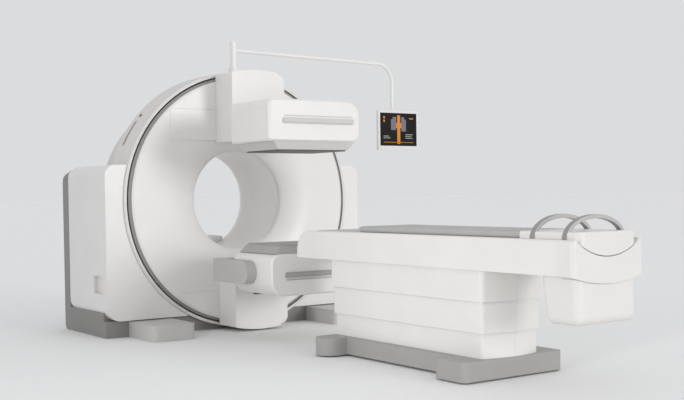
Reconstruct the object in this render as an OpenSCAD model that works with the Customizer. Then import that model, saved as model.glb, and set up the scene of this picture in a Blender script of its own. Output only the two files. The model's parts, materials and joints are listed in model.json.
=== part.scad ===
// Hybrid body scanner: a rotating ring with two detector heads in front of a
// tomography drum, a boom with a monitor, and a lifting patient table.
// Frame: X to the right seen from the table, +Y into the bore, +Z up.
// The origin lies on the floor under the centre of the rotor's front face.

/* [Gantry] */
// Height of the bore's axis above the floor
iso_h = 910; // [900:1:940]
// Inner diameter of the patient tunnel
bore_d = 700; // [660:5:740]
// Wall of the tunnel liner
liner_t = 6; // [4:1:10]
// Outer diameter of the fixed drum round the rotor
drum_d = 1810; // [1790:2:1816]
// Wall of the drum cover
drum_t = 12; // [8:1:14]
// Depth of the drum, from the rotor's front face to its back wall
drum_len = 316; // [300:2:340]
// Radial width of the drum's front lip
lip_w = 22; // [14:1:26]
// How far the drum's front lip stands behind the rotor's front face
lip_y = 20; // [14:1:24]
// Width over both side towers
gantry_w = 2060; // [2000:10:2120]
// Depth of the whole gantry
gantry_len = 798; // [780:2:840]
// Height of the side towers
tower_h = 1158; // [1100:2:1200]
// Front face of the towers behind the rotor's front face
tower_y = 35; // [28:1:50]
// Radius of the towers' top front corner
tower_top_r = 75; // [30:1:90]
// Radius of the towers' bottom corner
tower_foot_r = 95; // [60:1:110]
// Radius of the tower covers' rear corners, seen from the side
tower_rear_r = 72; // [40:2:90]
// Wall of the tower covers
tower_t = 8; // [5:1:12]
// Depth of the dark rear cover
rear_len = 108; // [90:2:130]
// Height of the plinth at the gantry's sides
plinth_h = 166; // [150:1:180]
// Height of the seam between the plinth and the tower front
seam_h = 112; // [100:1:125]
// Outer diameter of the tomography housing
ct_d = 1560; // [1500:5:1600]
// Wall of the tomography housing
ct_t = 10; // [6:1:14]
// Depth of the flare at the tunnel's rear
flare_len = 136; // [120:2:150]
// Radial width of the flare at the tunnel's rear
flare_w = 100; // [80:2:120]
// Height of the outrigger feet
outrigger_h = 104; // [90:1:112]
// Reach of the outrigger feet in front of the rotor's face
outrigger_reach = 320; // [280:5:340]

/* [Rotor] */
// Free gap between the rotor's rim and the drum lip
rim_gap = 9; // [6:1:12]
// Width of the grey rim band
rim_w = 19; // [12:1:26]
// Width of the bevel on the rotor cover
bevel_w = 15; // [10:1:24]
// Thickness of the rotor cover
rotor_t = 12; // [8:1:14]
// Radial width of the funnel between the flat face and the tunnel
funnel_w = 250; // [180:5:280]
// Depth of the funnel
funnel_len = 95; // [80:1:105]
// Thickness of the rotor's steel plate
plate_t = 28; // [20:1:32]
// Teeth of the ring gear
gear_teeth = 140; // [136:1:142]
// Teeth of the drive pinion
pinion_teeth = 16; // [14:1:17]
// Module of the gear teeth
gear_module = 10; // [9.8:0.1:10]
// Backlash of the gear teeth, measured on the pitch circle
backlash = 0.6; // [0.4:0.1:1]
// Radius of the bearing's running surface
race_r = 450; // [440:1:460]
// Radial play of the running fits
run_gap = 0.05; // [0.02:0.01:0.1]

/* [Detector heads] */
// Distance from the bore's axis to the upper collimator's face
upper_face_r = 320; // [310:1:340]
// Distance from the bore's axis to the lower collimator's face
lower_face_r = 290; // [285:1:320]
// Width of a detector head
head_w = 700; // [680:2:720]
// Length of a detector head along the bore
head_len = 477; // [460:1:490]
// Height of a head's white body
head_h = 268; // [250:1:280]
// Front face of the heads in front of the rotor's face
head_reach = 940; // [920:1:960]
// Height of the collimator block under a head
collimator_h = 50; // [40:1:60]
// Width of the collimator's face
collimator_w = 532; // [500:2:560]
// Wall of the head's housing
head_t = 15; // [12:1:18]
// Height of a head's side arm
arm_h = 150; // [140:1:160]
// Thickness of a head's side arm
arm_t = 68; // [50:1:76]
// Radius of the trunnion that carries a head
trunnion_r = 30; // [20:1:36]
// Height of the raised bumper bar on a head's front
bumper_h = 34; // [24:1:40]
// Diameter of a photomultiplier tube
tube_d = 58; // [50:1:60]
// Width of the mount covers
mount_w = 420; // [400:2:440]
// Depth of the mount covers in front of the rotor's face
mount_len = 234; // [220:1:244]
// Inner end of the mount covers, measured from the axis
mount_in_r = 405; // [400:1:410]
// Outer end of the mount covers, measured from the axis
mount_out_r = 899; // [880:1:900]

/* [Boom and monitor] */
// Radius of the boom's post
post_r = 23; // [18:1:26]
// Height of the boom's tube above the floor
boom_z = 1988; // [1940:1:2050]
// Reach of the boom from its post to the hanging tube
boom_len = 1570; // [1400:5:1650]
// Radius of the boom's tube
boom_r = 13; // [10:1:16]
// Bend radius of the boom's tube
bend_r = 150; // [100:5:200]
// Turn of the boom from the gantry's width, seen from above
boom_turn = 5.3; // [0:0.1:10]
// Width of the monitor
monitor_w = 415; // [380:1:450]
// Height of the monitor
monitor_h = 318; // [300:1:340]
// Thickness of the monitor
monitor_t = 44; // [36:1:56]
// Height of the monitor's centre above the floor
monitor_z = 1452; // [1430:1:1480]

/* [Patient table] */
// Far end of the table frame, in front of the rotor's face
frame_far = 1060; // [1040:5:1100]
// Length of the platform at the pallet's near end
platform_len = 290; // [270:2:310]
// Width of the table frame
frame_w = 470; // [460:2:490]
// Height of the table frame's underside above the floor
frame_z = 556; // [546:1:566]
// Height of the table frame
frame_h = 167; // [160:1:175]
// Radius of the table frame's upper side edges
frame_edge_r = 22; // [8:1:26]
// Radius of the table frame's far top edge
frame_nose_r = 130; // [60:5:150]
// Width of the pallet
pallet_w = 410; // [390:2:420]
// Thickness of the pallet at its edges
pallet_t = 10; // [6:1:12]
// Depth of the pallet's curved underside at its middle
pallet_dip = 78; // [60:2:90]
// Far end of the pallet, in front of the rotor's face
pallet_far = 1215; // [1190:1:1240]
// Thickness of the mattress
mattress_t = 30; // [20:1:40]
// Far end of the mattress, in front of the rotor's face
mattress_far = 1590; // [1540:5:1640]
// Length of the mattress
mattress_len = 1370; // [1300:5:1405]
// Height of the hoops above the pallet
hoop_h = 112; // [90:1:130]
// Width of a hoop's bar along the table
hoop_bar = 30; // [20:1:36]
// Width of the top column cover
column_w = 430; // [410:2:440]
// Length of the top column cover
column_len = 1324; // [1300:2:1340]
// Bulge of the column covers' ends
column_bow = 30; // [16:2:36]
// Wall of the column covers
column_t = 5; // [3:1:5]
// Step from one column cover to the next
column_step = 10; // [8:1:12]
// Height of the table base
base_h = 108; // [100:1:116]
// Width over the table base's cross feet
base_w = 694; // [660:2:720]
// Near end of the table base, in front of the rotor's face
base_near = 2724; // [2722:1:2760]
// Radius of the lift rods
lift_r = 34; // [28:1:40]

/* [Anchors] */
// Diameter of the gantry's floor anchor holes
anchor_d = 18; // [14:1:22]
// Spacing of the gantry's anchors across its width
anchor_x = 1450; // [1430:5:1470]
// Spacing of the gantry's anchors along the bore
anchor_y = 400; // [360:10:440]

/* [Hidden] */
$fn = 96;
eps = 0.3;
drum_r = drum_d/2;
lip_r = drum_r - lip_w;
shell_r = drum_r - drum_t;
rotor_r = lip_r - rim_gap;
cover_r = rotor_r - rim_w;
bore_r = bore_d/2;
mouth_r = bore_r + 2;
funnel_r = mouth_r + funnel_w;
ct_r = ct_d/2;
ct_end = gantry_len - 50;
flare_y = ct_end - flare_len;
flare_wall_r = bore_r + liner_t + eps + ct_t;
rear_y = gantry_len - rear_len;
plinth_y = tower_y + 28;
rear_drop = 26;
outrigger_w = 306;
outrigger_x = anchor_x/2 - 12;
slot_w = 30;
slot_d = 7;
slot_y = 212;
slot_from = 143;
slot_turn = 11;
lens_at = 139;
trough_r = drum_r + 3;
rim_back = lip_y + 14;
bevel_y = 6;
plate_y = funnel_len + 17;
plate_back = plate_y + plate_t;
flange_t = 12;
stator_t = 41;
stator_y = drum_len - drum_t - stator_t;
pitch_r = gear_teeth*gear_module/2;
pinion_pitch_r = pinion_teeth*gear_module/2;
gear_w = 30;
pinion_angle = 225;
arm_offset = 170;
neck_offset = 262;
neck_w = 120;
neck_h = 70;
yoke_y = -309;
yoke_t = 84;
head_back = head_len - head_reach;
pivot_y = -684;
arm_side = head_w/2 + 1;
slot_out = 652;
rail_x = 110;
rail_w = 24;
rail_t = 30;
mount_t = 8;
mount_back = 24;
post = [20, 150];
socket_h = 52;
socket_r = post_r + 12;
drop_end = monitor_z + monitor_h/2 - 40;
boom_tip = [post.x + boom_len*cos(boom_turn), post.y + boom_len*sin(boom_turn)];
monitor_y = boom_tip.y - 62;
mattress_near = mattress_far + mattress_len;
frame_near = 14 - mattress_near - platform_len;
frame_top = frame_z + frame_h;
pallet_top = frame_top + 1;
pallet_near = frame_near - 14;
pallet_gap = 4;
keel_r = (pow(pallet_w/2, 2) + pow(pallet_dip - pallet_t, 2))/(2*(pallet_dip - pallet_t));
table_end = frame_near - 102;
cap_w = frame_w + 14;
cap_sag = 40;
cap_corner_r = 24;
belly_r = (pow(cap_w/2, 2) + pow(cap_sag, 2))/(2*cap_sag);
hoop_y = [-mattress_near - 87, -mattress_near - platform_len];
column_y = -2050;
base_far = frame_far + 432;
tier_seams = [base_h, base_h + 128, base_h + 287];
box_w = 410;
box_len = 238;
box_h = 227;
beam_w = 470;
tube_rows = 7;
tube_pitch = 62;

// Points of an arc about a centre
function arc(c, r, a0, a1, n = 10) = [for (i = [0 : n]) let (a = a0 + (a1 - a0)*i/n)
    [c.x + r*cos(a), c.y + r*sin(a)]];

// A solid of revolution about the bore's axis, drawn as radius and depth
module about_bore(angle = 360) {
    translate([0, 0, iso_h]) rotate([-90, 0, 0]) rotate_extrude(angle = angle, $fn = 240) children();
}

// A flat ring about the bore's axis
module bore_ring(r_out, r_in, y0, y1) {
    about_bore() translate([r_in, y0]) square([r_out - r_in, y1 - y0]);
}

// A cylinder along the bore's direction
module rod_y(r, y0, y1, x = 0, z = 0) {
    translate([x, y0, z]) rotate([-90, 0, 0]) cylinder(r = r, h = y1 - y0, $fn = r > 300 ? 320 : 64);
}

// A profile drawn in X and Z, extruded from y0 to y1
module along_y(y0, y1) {
    translate([0, y1, 0]) rotate([90, 0, 0]) linear_extrude(y1 - y0) children();
}

// A rectangle with round corners, centred
module round_rect(w, d, r) {
    square([w - 2*r, d], center = true);
    square([w, d - 2*r], center = true);
    for (x = [-1, 1], y = [-1, 1]) translate([x*(w/2 - r), y*(d/2 - r)]) circle(r, $fn = 48);
}

// Gantry

// Outline of one tower seen from the front, grown by g
module tower_outline(g = 0) {
    w = gantry_w/2;
    polygon(concat(
        [[-w/2, seam_h - g]],
        [[-w/2, tower_h + g]],
        arc([-w + tower_top_r, tower_h - tower_top_r], tower_top_r + g, 90, 180),
        arc([-w + tower_foot_r, seam_h + tower_foot_r], tower_foot_r + g, 180, 270)));
}

// A tower's solid between two depths, outside a circle about the bore
module tower_slice(y0, y1, r, g = 0) {
    along_y(y0, y1) difference() {
        union() {
            tower_outline(g);
            translate([-gantry_w/4 - 1, seam_h - g]) square([gantry_w/4, tower_h - seam_h + 2*g]);
        }
        translate([0, iso_h]) circle(r, $fn = 320);
        translate([-0.25, 0]) square([gantry_w, tower_h*2]);
    }
}

// Side outline that rounds the rear corners of the tower covers
module side_round(g = 0) {
    r = tower_rear_r;
    rear = rear_y - eps;
    mid = rear - r;
    lift = 2;
    translate([-gantry_w/2 - 5, 0, 0]) rotate([90, 0, 90]) linear_extrude(gantry_w/2 + 5) {
        translate([0, seam_h - 5]) square([mid, tower_h - seam_h + 10]);
        translate([mid - 1, plinth_h + r]) square([r + 1 + g, tower_h - plinth_h - 2*r]);
        for (z = [plinth_h + r - lift, tower_h - r + lift]) translate([mid, z]) circle(r + g, $fn = 96);
    }
}

// Space that the left tower cover fills, grown by g
module tower_body(g = 0) {
    intersection() {
        union() {
            tower_slice(tower_y - g, drum_len + eps, drum_r + 1 - g, g);
            tower_slice(drum_len + eps - g, rear_y, ct_r + eps - g, g);
        }
        side_round(g);
    }
}

module tower_cover() {
    difference() {
        tower_body();
        tower_slice(tower_y + tower_t, drum_len + eps + tower_t + 1, drum_r + 1 + tower_t, -tower_t);
        tower_slice(drum_len + eps + tower_t, rear_y - tower_rear_r, ct_r + eps + tower_t, -tower_t);
        saddle(eps);
        tower_grip();
    }
    grip_pocket();
}

// Finger grip pressed into the side of a tower cover
grip_len = 160;
grip_h = 128;
grip_d = 26;
grip_at = [180, 352];
module tower_grip() {
    translate([-gantry_w/2, grip_at.x, grip_at.y]) rotate([0, 90, 0])
        linear_extrude(tower_t*3, center = true) round_rect(grip_h, grip_len, 10);
}

module grip_pocket() {
    translate([-gantry_w/2 + 1, grip_at.x, grip_at.y]) rotate([0, 90, 0]) difference() {
        linear_extrude(grip_d + 4) round_rect(grip_h, grip_len, 10);
        translate([0, 0, -1]) linear_extrude(grip_d) round_rect(grip_h - 8, grip_len - 8, 7);
    }
}

module left_tower_cover() { color("#e6e4e2") tower_cover(); }
module right_tower_cover() { color("#e6e4e2") mirror([1, 0, 0]) tower_cover(); }

module plinth() {
    w = gantry_w/2;
    color("#82817f") difference() {
        union() {
            translate([-w, plinth_y, 0]) cube([2*w, rear_y - eps - plinth_y, plinth_h]);
            saddle();
        }
        for (s = [0, 1]) mirror([s, 0, 0]) difference() {
            tower_body(eps);
            saddle();
        }
        translate([-w, -1, seam_h - eps]) cube([2*w, plinth_y + 42, plinth_h]);
        translate([-w/2, -1, seam_h - eps]) cube([w, drum_len + 1, plinth_h]);
        rod_y(trough_r, -1, drum_len + 1, 0, iso_h);
        rod_y(ct_r + eps, drum_len, rear_y + 1, 0, iso_h);
        anchor_holes();
    }
}

// Anchor holes bored up from the floor
module anchor_holes() {
    for (x = [-1, 1], y = [-1, 1]) translate([x*anchor_x/2, y*anchor_y/2, -1])
        cylinder(d = anchor_d, h = 61);
}

// Cradle between the towers that carries the tomography housing
module saddle(g = 0) {
    translate([-430 - g, drum_len + 30 - g, 1])
        cube([860 + 2*g, rear_y - drum_len - 60 + 2*g, seam_h + 120 + g]);
}

module outrigger_feet() {
    len = outrigger_reach + plinth_y;
    color("#a5a3a1") difference() {
        for (s = [-1, 1]) translate([s*outrigger_x, 0, 0]) linear_extrude(outrigger_h) {
            translate([0, plinth_y - len/2]) round_rect(outrigger_w, len, 36);
            translate([-outrigger_w/2, plinth_y - 40]) square([outrigger_w, 40]);
        }
        anchor_holes();
    }
}

module rear_cover() {
    w = gantry_w/2;
    r = 96;
    top = tower_h - rear_drop;
    color("#7d7c7a") {
        difference() {
            translate([-w, 0, 0]) rotate([90, 0, 90]) linear_extrude(2*w) polygon(concat(
                [[rear_y, 0], [rear_y, top]],
                arc([gantry_len - r, top - r], r, 90, 0),
                arc([gantry_len - 40, 40], 40, 0, -90, 6)));
            along_y(rear_y - 1, gantry_len + 1) difference() {
                translate([-w - 1, top - 90]) square([2*w + 2, 200]);
                translate([0, top/2]) round_rect(2*w, top, 60);
            }
            rod_y(ct_r + eps, rear_y - 1, gantry_len + 1, 0, iso_h);
        }
        for (s = [0, 1]) mirror([s, 0, 0]) corner_fillers();
    }
}

// Dark wedges that fill the rounded rear corners of a tower cover
module corner_fillers() {
    r = tower_rear_r;
    difference() {
        intersection() {
            tower_slice(rear_y - eps - r, rear_y + 1, ct_r + eps);
            translate([-gantry_w, rear_y - r - 1, 0]) for (z = [plinth_h + 0.5, tower_h - r - rear_drop])
                translate([0, 0, z]) cube([gantry_w, r + 2, r]);
        }
        tower_body(eps);
        saddle(eps);
        translate([-gantry_w, 0, 0]) cube([2*gantry_w, gantry_len, plinth_h + eps]);
    }
}

module ct_housing() {
    r_in = flare_wall_r + eps;
    front = drum_len + eps;
    corner = [ct_r - 60, ct_end - 60];
    color("#dedcda") about_bore() polygon(concat(
        [[r_in, front], [ct_r, front]],
        arc(corner, 60, 0, 90),
        [[bore_r + flare_w + eps, ct_end], [bore_r + flare_w + eps, ct_end - ct_t]],
        arc(corner, 60 - ct_t, 90, 0),
        [[ct_r - ct_t, front + ct_t], [r_in, front + ct_t]]));
}

module tunnel_flare() {
    r_hole = bore_r + liner_t + eps;
    t = flare_wall_r - bore_r;
    color("#e4e2df") {
        about_bore() polygon(concat(
            [[flare_wall_r, drum_len + eps], [r_hole, drum_len + eps], [r_hole, flare_y]],
            [for (i = [0 : 12]) flare_point(90*i/12)],
            [for (i = [12 : -1 : 0]) flare_point(90*i/12) + t*[cos(90*i/12), -sin(90*i/12)]]));
        rear_rest();
    }
}

// Point of the tunnel's rear flare as radius and depth, for an angle from the bore to the rear face
function flare_point(a) = [bore_r + flare_w*(1 - cos(a)), flare_y + flare_len*sin(a)];

// Crowned rest behind the tunnel, level with the underside of the pallet
module rear_rest() {
    crown_r = 986;
    intersection() {
        along_y(flare_y + 24, flare_y + 58) intersection() {
            translate([0, pallet_top - pallet_dip - 1 - crown_r]) circle(crown_r, $fn = 320);
            translate([-175, iso_h - bore_r - 20]) square([350, bore_r]);
        }
        rod_y(bore_r + 10, flare_y, ct_end, 0, iso_h);
    }
}

module drum_cover() {
    color("#c4c2c0") difference() {
        drum_wall();
        drum_slot(drum_r - slot_d, drum_r + 5, slot_w);
    }
}

module drum_wall() {
    about_bore() polygon([
        [lip_r, lip_y + 2], [lip_r + 2, lip_y], [drum_r - 8, lip_y], [drum_r - 2, lip_y + 2],
        [drum_r, lip_y + 8], [drum_r, drum_len - 28], [drum_r - 26, drum_len], [ct_r - 190, drum_len],
        [ct_r - 190, drum_len - drum_t], [shell_r - 22, drum_len - drum_t], [shell_r, drum_len - 34],
        [shell_r, lip_y + 22], [lip_r, lip_y + 14]]);
}

// Round-ended band on the drum's flank, between two radii
module drum_slot(r0, r1, w) {
    translate([0, 0, iso_h]) rotate([-90, 0, 0]) translate([0, 0, slot_y]) {
        rotate([0, 0, -slot_from - slot_turn]) rotate_extrude(angle = slot_turn, $fn = 160)
            translate([r0, -w/2]) square([r1 - r0, w]);
        for (a = [-slot_from - slot_turn, -slot_from]) rotate([0, 0, a]) translate([r0 + 0.2, 0, 0])
            rotate([0, 90, 0]) cylinder(d = w - 0.4, h = r1 - r0 - 0.4, $fn = 40);
    }
}

// Strip laid into the slot on the drum's flank
module drum_slot_trim() { color("#c9c7c5") drum_slot(drum_r - slot_d, drum_r - 1, slot_w - 11); }

module status_lens() {
    color("#3a3130") translate([0, slot_y, iso_h]) rotate([0, -lens_at, 0])
        translate([drum_r, 0, 0]) rotate([0, 90, 0]) cylinder(r = 13, h = 3, $fn = 48);
}

module tunnel_liner() {
    color("#e9e7e4") bore_ring(bore_r + liner_t, bore_r, funnel_len + 2, flare_y - eps);
}

module stator_plate() {
    color("#9c9fa3") bore_ring(shell_r - 24, race_r + 4, stator_y, drum_len - drum_t - eps);
}

module bearing_outer_race() {
    color("#8a8d92") difference() {
        bore_ring(race_r + 50, race_r + run_gap, plate_back + 40, stator_y);
        about_bore() translate([race_r, stator_y - 41]) rotate(45) square(9, center = true);
    }
}

// Gears

// Involute point on a base circle of radius rb, unrolled by angle a
function involute(rb, a) = [rb*(cos(a) + a*PI/180*sin(a)), rb*(sin(a) - a*PI/180*cos(a))];
function turned(p, a) = [p.x*cos(a) - p.y*sin(a), p.x*sin(a) + p.y*cos(a)];
function roll_to(rb, r) = r <= rb ? 0 : 180/PI*sqrt(pow(r/rb, 2) - 1);
function inv_angle(a) = 180/PI*tan(a) - a;

// Outline of a spur gear with a tooth centred on +X
module gear_outline(teeth, steps = 3) {
    rp = teeth*gear_module/2;
    rb = rp*cos(20);
    ra = rp + gear_module*0.95;
    rr = rp - gear_module*1.2;
    half = 90/teeth - backlash/4/rp*180/PI + inv_angle(20);
    r0 = max(rb, rr + 0.5);
    root = half - inv_angle(acos(rb/r0));
    flank = [for (i = [0 : steps]) let (a = roll_to(rb, r0 + (ra - r0)*i/steps))
        turned(involute(rb, a), -half)];
    polygon([for (k = [0 : teeth - 1]) each let (t = 360*k/teeth) concat(
        [turned(rr*[cos(root), -sin(root)], t)],
        [for (p = flank) turned(p, t)],
        [for (i = [steps : -1 : 0]) turned([flank[i].x, -flank[i].y], t)],
        [turned(rr*[cos(root), sin(root)], t)])]);
}

module ring_gear() {
    color("#8f9296") translate([0, plate_back, iso_h]) rotate([-90, 0, 0])
        linear_extrude(gear_w) difference() {
            gear_outline(gear_teeth, 2);
            circle(r = pitch_r - 40, $fn = 160);
        }
}

// Place of the pinion's axis, in X and Z
pinion_r = pitch_r + pinion_pitch_r;
pinion_at = [pinion_r*cos(pinion_angle), iso_h + pinion_r*sin(pinion_angle)];
// Share of a tooth pitch by which the line of centres misses a tooth of the ring gear
line_teeth = -pinion_angle*gear_teeth/360;
mesh_phase = line_teeth - floor(line_teeth);
pinion_turn = 180 - pinion_angle + (mesh_phase + 0.5)*360/pinion_teeth;

module drive_pinion() {
    color("#a7a9ad") translate([pinion_at.x, 0, pinion_at.y]) {
        translate([0, plate_back + 2, 0]) rotate([-90, 0, 0]) rotate([0, 0, pinion_turn])
            linear_extrude(gear_w) gear_outline(pinion_teeth, 4);
        rod_y(12, plate_back + 2, stator_y - 20);
    }
}

module drive_motor() {
    color("#6f7275") translate([pinion_at.x, 0, pinion_at.y]) difference() {
        union() {
            rod_y(62, plate_back + gear_w + 12, stator_y);
            translate([-58, stator_y - 14, -58]) cube([116, 14, 116]);
        }
        rod_y(12 + run_gap, plate_back, stator_y - 19);
    }
}

// Rotor

// Front surface of the rotor as radius and depth, from the rim to the tunnel, set back by g
function funnel_line(g = 0, n = 18) = [for (i = [0 : n])
    [funnel_r - (funnel_w - g)*sin(90*i/n), funnel_len - (funnel_len - g)*cos(90*i/n)]];

module rotor_cover() {
    back = funnel_line(rotor_t);
    color("#ebe9e6") about_bore() polygon(concat(
        [[cover_r, bevel_y], [cover_r - bevel_w, 0]],
        funnel_line(),
        [for (i = [len(back) - 1 : -1 : 0]) back[i]],
        [[cover_r - bevel_w, rotor_t], [cover_r, bevel_y + rotor_t]]));
}

// Everything behind the rotor's front surface, to trim what is seated on it
module behind_rotor() {
    about_bore() polygon(concat(
        [[cover_r + 60, -eps/3], [cover_r - bevel_w, -eps/3]],
        [for (p = funnel_line()) [p.x, p.y - eps/3]],
        [[mouth_r, 260], [cover_r + 60, 260]]));
}

module rotor_rim() {
    color("#a9a7a5") about_bore() polygon([
        [cover_r + eps, bevel_y], [rotor_r, lip_y], [rotor_r, rim_back], [cover_r + eps, rim_back]]);
}

module rotor_frame() {
    color("#a3a6aa") about_bore() difference() {
        translate([mouth_r + 20, bevel_y + rotor_t + eps])
            square([cover_r - mouth_r - 20, plate_back - bevel_y - rotor_t - eps]);
        translate([mouth_r + 10, 0]) square([cover_r - flange_t - mouth_r - 10, plate_y]);
    }
}

module bearing_inner_race() {
    color("#94979b") difference() {
        bore_ring(race_r, race_r - 50, plate_back, stator_y - 20);
        about_bore() translate([race_r, stator_y - 41]) rotate(45) square(9, center = true);
    }
}

// Flat panels on both sides of each mount
module flank_panels() {
    x0 = mount_w/2 + 1;
    x1 = 563;
    r = 24;
    color("#efedea") difference() {
        intersection() {
            translate([0, 0, iso_h]) for (u = [0, 1], s = [0, 1])
                mirror([0, 0, u]) mirror([s, 0, 0]) along_y(-3, 80) {
                    polygon(concat([[x0, 419], [x0, 631]], [[x1, 631]], arc([x1 - r, 419 + r], r, 0, -90, 6)));
                    polygon([[x0, 634], [x0, 840], [x1, 840], [x1, 634]]);
                }
            rod_y(cover_r - bevel_w, -40, 90, 0, iso_h);
        }
        behind_rotor();
    }
}

// Outline of a mount seen from the front, as X and distance from the axis
module mount_outline(t = 0) {
    w = mount_w/2 - t;
    r = 55;
    intersection() {
        circle(mount_out_r - t, $fn = 320);
        union() {
            translate([-w, mount_in_r + t]) square([2*w - r, mount_out_r]);
            translate([-w, mount_in_r + t]) square([2*w, mount_out_r - mount_in_r - t - 80]);
            translate([w - r, mount_out_r - 80]) circle(r, $fn = 64);
        }
    }
}

module mount_cover() {
    color("#e6e4e1") difference() {
        along_y(-mount_len, 80) mount_outline();
        along_y(-mount_len + mount_t, -mount_back) mount_outline(mount_t);
        translate([-neck_w/2 - 5, -mount_len - 1, mount_in_r + mount_t + 4])
            cube([neck_w + 10, mount_t + 2, slot_out - mount_in_r - mount_t]);
        translate([0, 0, -iso_h]) behind_rotor();
    }
}

// What belongs to the upper or the lower head: distance from the axis becomes height
module on_upper() { translate([0, 0, iso_h]) children(); }
module on_lower() { translate([0, 0, iso_h]) mirror([0, 0, 1]) children(); }

module upper_mount_cover() { on_upper() mount_cover(); }
module lower_mount_cover() { on_lower() mount_cover(); }

module guide_rails() {
    color("#7c7f83") for (s = [-1, 1]) {
        on_upper() rail(s*rail_x);
        on_lower() rail(s*rail_x);
    }
}

// One linear rail with undercut flanks
module rail(x) {
    translate([x, -mount_back, mount_in_r + mount_t + 2]) linear_extrude(420) polygon([
        [-rail_w/2, 0], [rail_w/2, 0], [rail_w/2, -8], [rail_w/2 - 5, -13], [rail_w/2, -18],
        [rail_w/2, -rail_t], [-rail_w/2, -rail_t], [-rail_w/2, -18], [-rail_w/2 + 5, -13],
        [-rail_w/2, -8]]);
}

// Carriage that slides on the rails, with its neck, yoke and side arm; side is -1 or 1
module carriage(face_r, side) {
    mid = face_r + arm_offset;
    neck = face_r + neck_offset;
    shoe_y = -mount_back - rail_t;
    color("#b3b1ae") {
        difference() {
            translate([-150, shoe_y - 50, neck - neck_h/2]) cube([300, 50 + rail_t - 4, 120]);
            for (s = [-1, 1]) translate([s*rail_x, shoe_y - eps, neck - neck_h])
                translate([-rail_w/2 - eps, 0, 0]) cube([rail_w + 2*eps, rail_t + 2, 300]);
        }
        translate([-neck_w/2, yoke_y - 1, neck - neck_h/2]) cube([neck_w, shoe_y - 40 - yoke_y, neck_h]);
        translate([-neck_w/2, yoke_y - yoke_t, mid - arm_h/2])
            cube([neck_w, yoke_t, neck + neck_h/2 - mid + arm_h/2]);
        mirror([side < 0 ? 1 : 0, 0, 0]) {
            translate([0, yoke_y - yoke_t, mid - arm_h/2]) cube([arm_side + arm_t, yoke_t, arm_h]);
            translate([arm_side, 0, mid]) rotate([90, 0, 90]) linear_extrude(arm_t) {
                translate([pivot_y, 0]) circle(arm_h/2);
                translate([pivot_y, -arm_h/2]) square([yoke_y - pivot_y, arm_h]);
            }
            translate([arm_side - 46, pivot_y, mid]) rotate([0, 90, 0]) cylinder(r = trunnion_r, h = 50);
        }
    }
}

module upper_carriage() { on_upper() carriage(upper_face_r, 1); }
module lower_carriage() { on_lower() carriage(lower_face_r, -1); }

// Detector heads: distances are counted outwards from the collimator's face

// Outline of a head's body, shrunk by t
module head_outline(t = 0) {
    w = head_w/2;
    lo = collimator_h;
    hi = collimator_h + head_h;
    polygon(concat(
        arc([w - 64, lo + 64], 64 - t, -90, 0, 8),
        arc([w - 100, hi - 100], 100 - t, 0, 90, 10),
        arc([-w + 40, hi - 40], 40 - t, 90, 180, 6),
        arc([-w + 22, lo + 22], 22 - t, 180, 270, 5)));
}

module head_shell(face_r) {
    bev = 14;
    cavity_lo = collimator_h + 28;
    color("#e9e7e5") translate([0, 0, face_r]) difference() {
        union() {
            along_y(-head_reach + bev, head_back) head_outline();
            hull() {
                along_y(-head_reach, -head_reach + 1) head_outline(bev*0.8);
                along_y(-head_reach + bev, -head_reach + bev + 1) head_outline();
            }
        }
        translate([-head_w/2 + 50, -head_reach + head_t, cavity_lo])
            cube([head_w - 100, head_len - 2*head_t, head_h - 28 - 28]);
        translate([-collimator_w/2 - 14 - eps, -head_reach + 28 - eps, collimator_h - 1])
            cube([collimator_w + 28 + 2*eps, head_len - 56 + 2*eps, 15 + eps]);
        translate([head_w/2 - 60, pivot_y, arm_offset])
            rotate([0, 90, 0]) cylinder(r = trunnion_r + run_gap, h = 70);
    }
}

module collimator(face_r) {
    w = collimator_w;
    y_near = -head_reach + 12;
    len_base = head_len - 24;
    translate([0, 0, face_r]) {
        hull() {
            translate([-w/2 - 43, y_near, collimator_h - 2]) cube([w + 86, len_base, 2 - eps]);
            translate([-w/2, y_near + 16, 0]) cube([w, len_base - 32, 1]);
        }
        translate([-w/2 - 14, -head_reach + 28, collimator_h - 1]) cube([w + 28, head_len - 56, 15]);
    }
}

module touch_plate(face_r) {
    color("#4d4c4b") translate([0, 0, face_r - 7 - eps]) linear_extrude(7)
        translate([0, -head_reach + head_len/2]) round_rect(collimator_w - 12, head_len - 72, 10);
}

module bumper(face_r) {
    w = 540;
    z = collimator_h + 133;
    color("#c9c7c5") translate([20, -head_reach, face_r + z]) rotate([90, 0, 0]) {
        linear_extrude(10) round_rect(w, bumper_h, 8);
        translate([0, 0, 9]) linear_extrude(5) round_rect(w - 12, bumper_h - 12, 4);
    }
    color("#c9c7c5") translate([20, -head_reach, face_r + z + 31]) rotate([90, 0, 0])
        linear_extrude(3) round_rect(w - 20, 5, 2);
}

module crystal(face_r) {
    color("#cfe0dc") translate([-290, -head_reach + head_t + 20, face_r + collimator_h + 28])
        cube([580, head_len - 2*head_t - 40, 12]);
}

// Photomultiplier tubes in alternating rows of eight and nine
module tube_array(face_r) {
    row_step = tube_pitch*sqrt(3)/2;
    color("#9aa5ad") translate([0, -head_reach + head_len/2, face_r + collimator_h + 40])
        for (k = [0 : tube_rows - 1]) let (n = 8 + k % 2, y = (k - (tube_rows - 1)/2)*row_step)
            for (i = [0 : n - 1]) translate([(i - (n - 1)/2)*tube_pitch, y, 0]) {
                cylinder(d = tube_d, h = 60, $fn = 24);
                cylinder(d = tube_d*0.62, h = 104, $fn = 24);
            }
}

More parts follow.
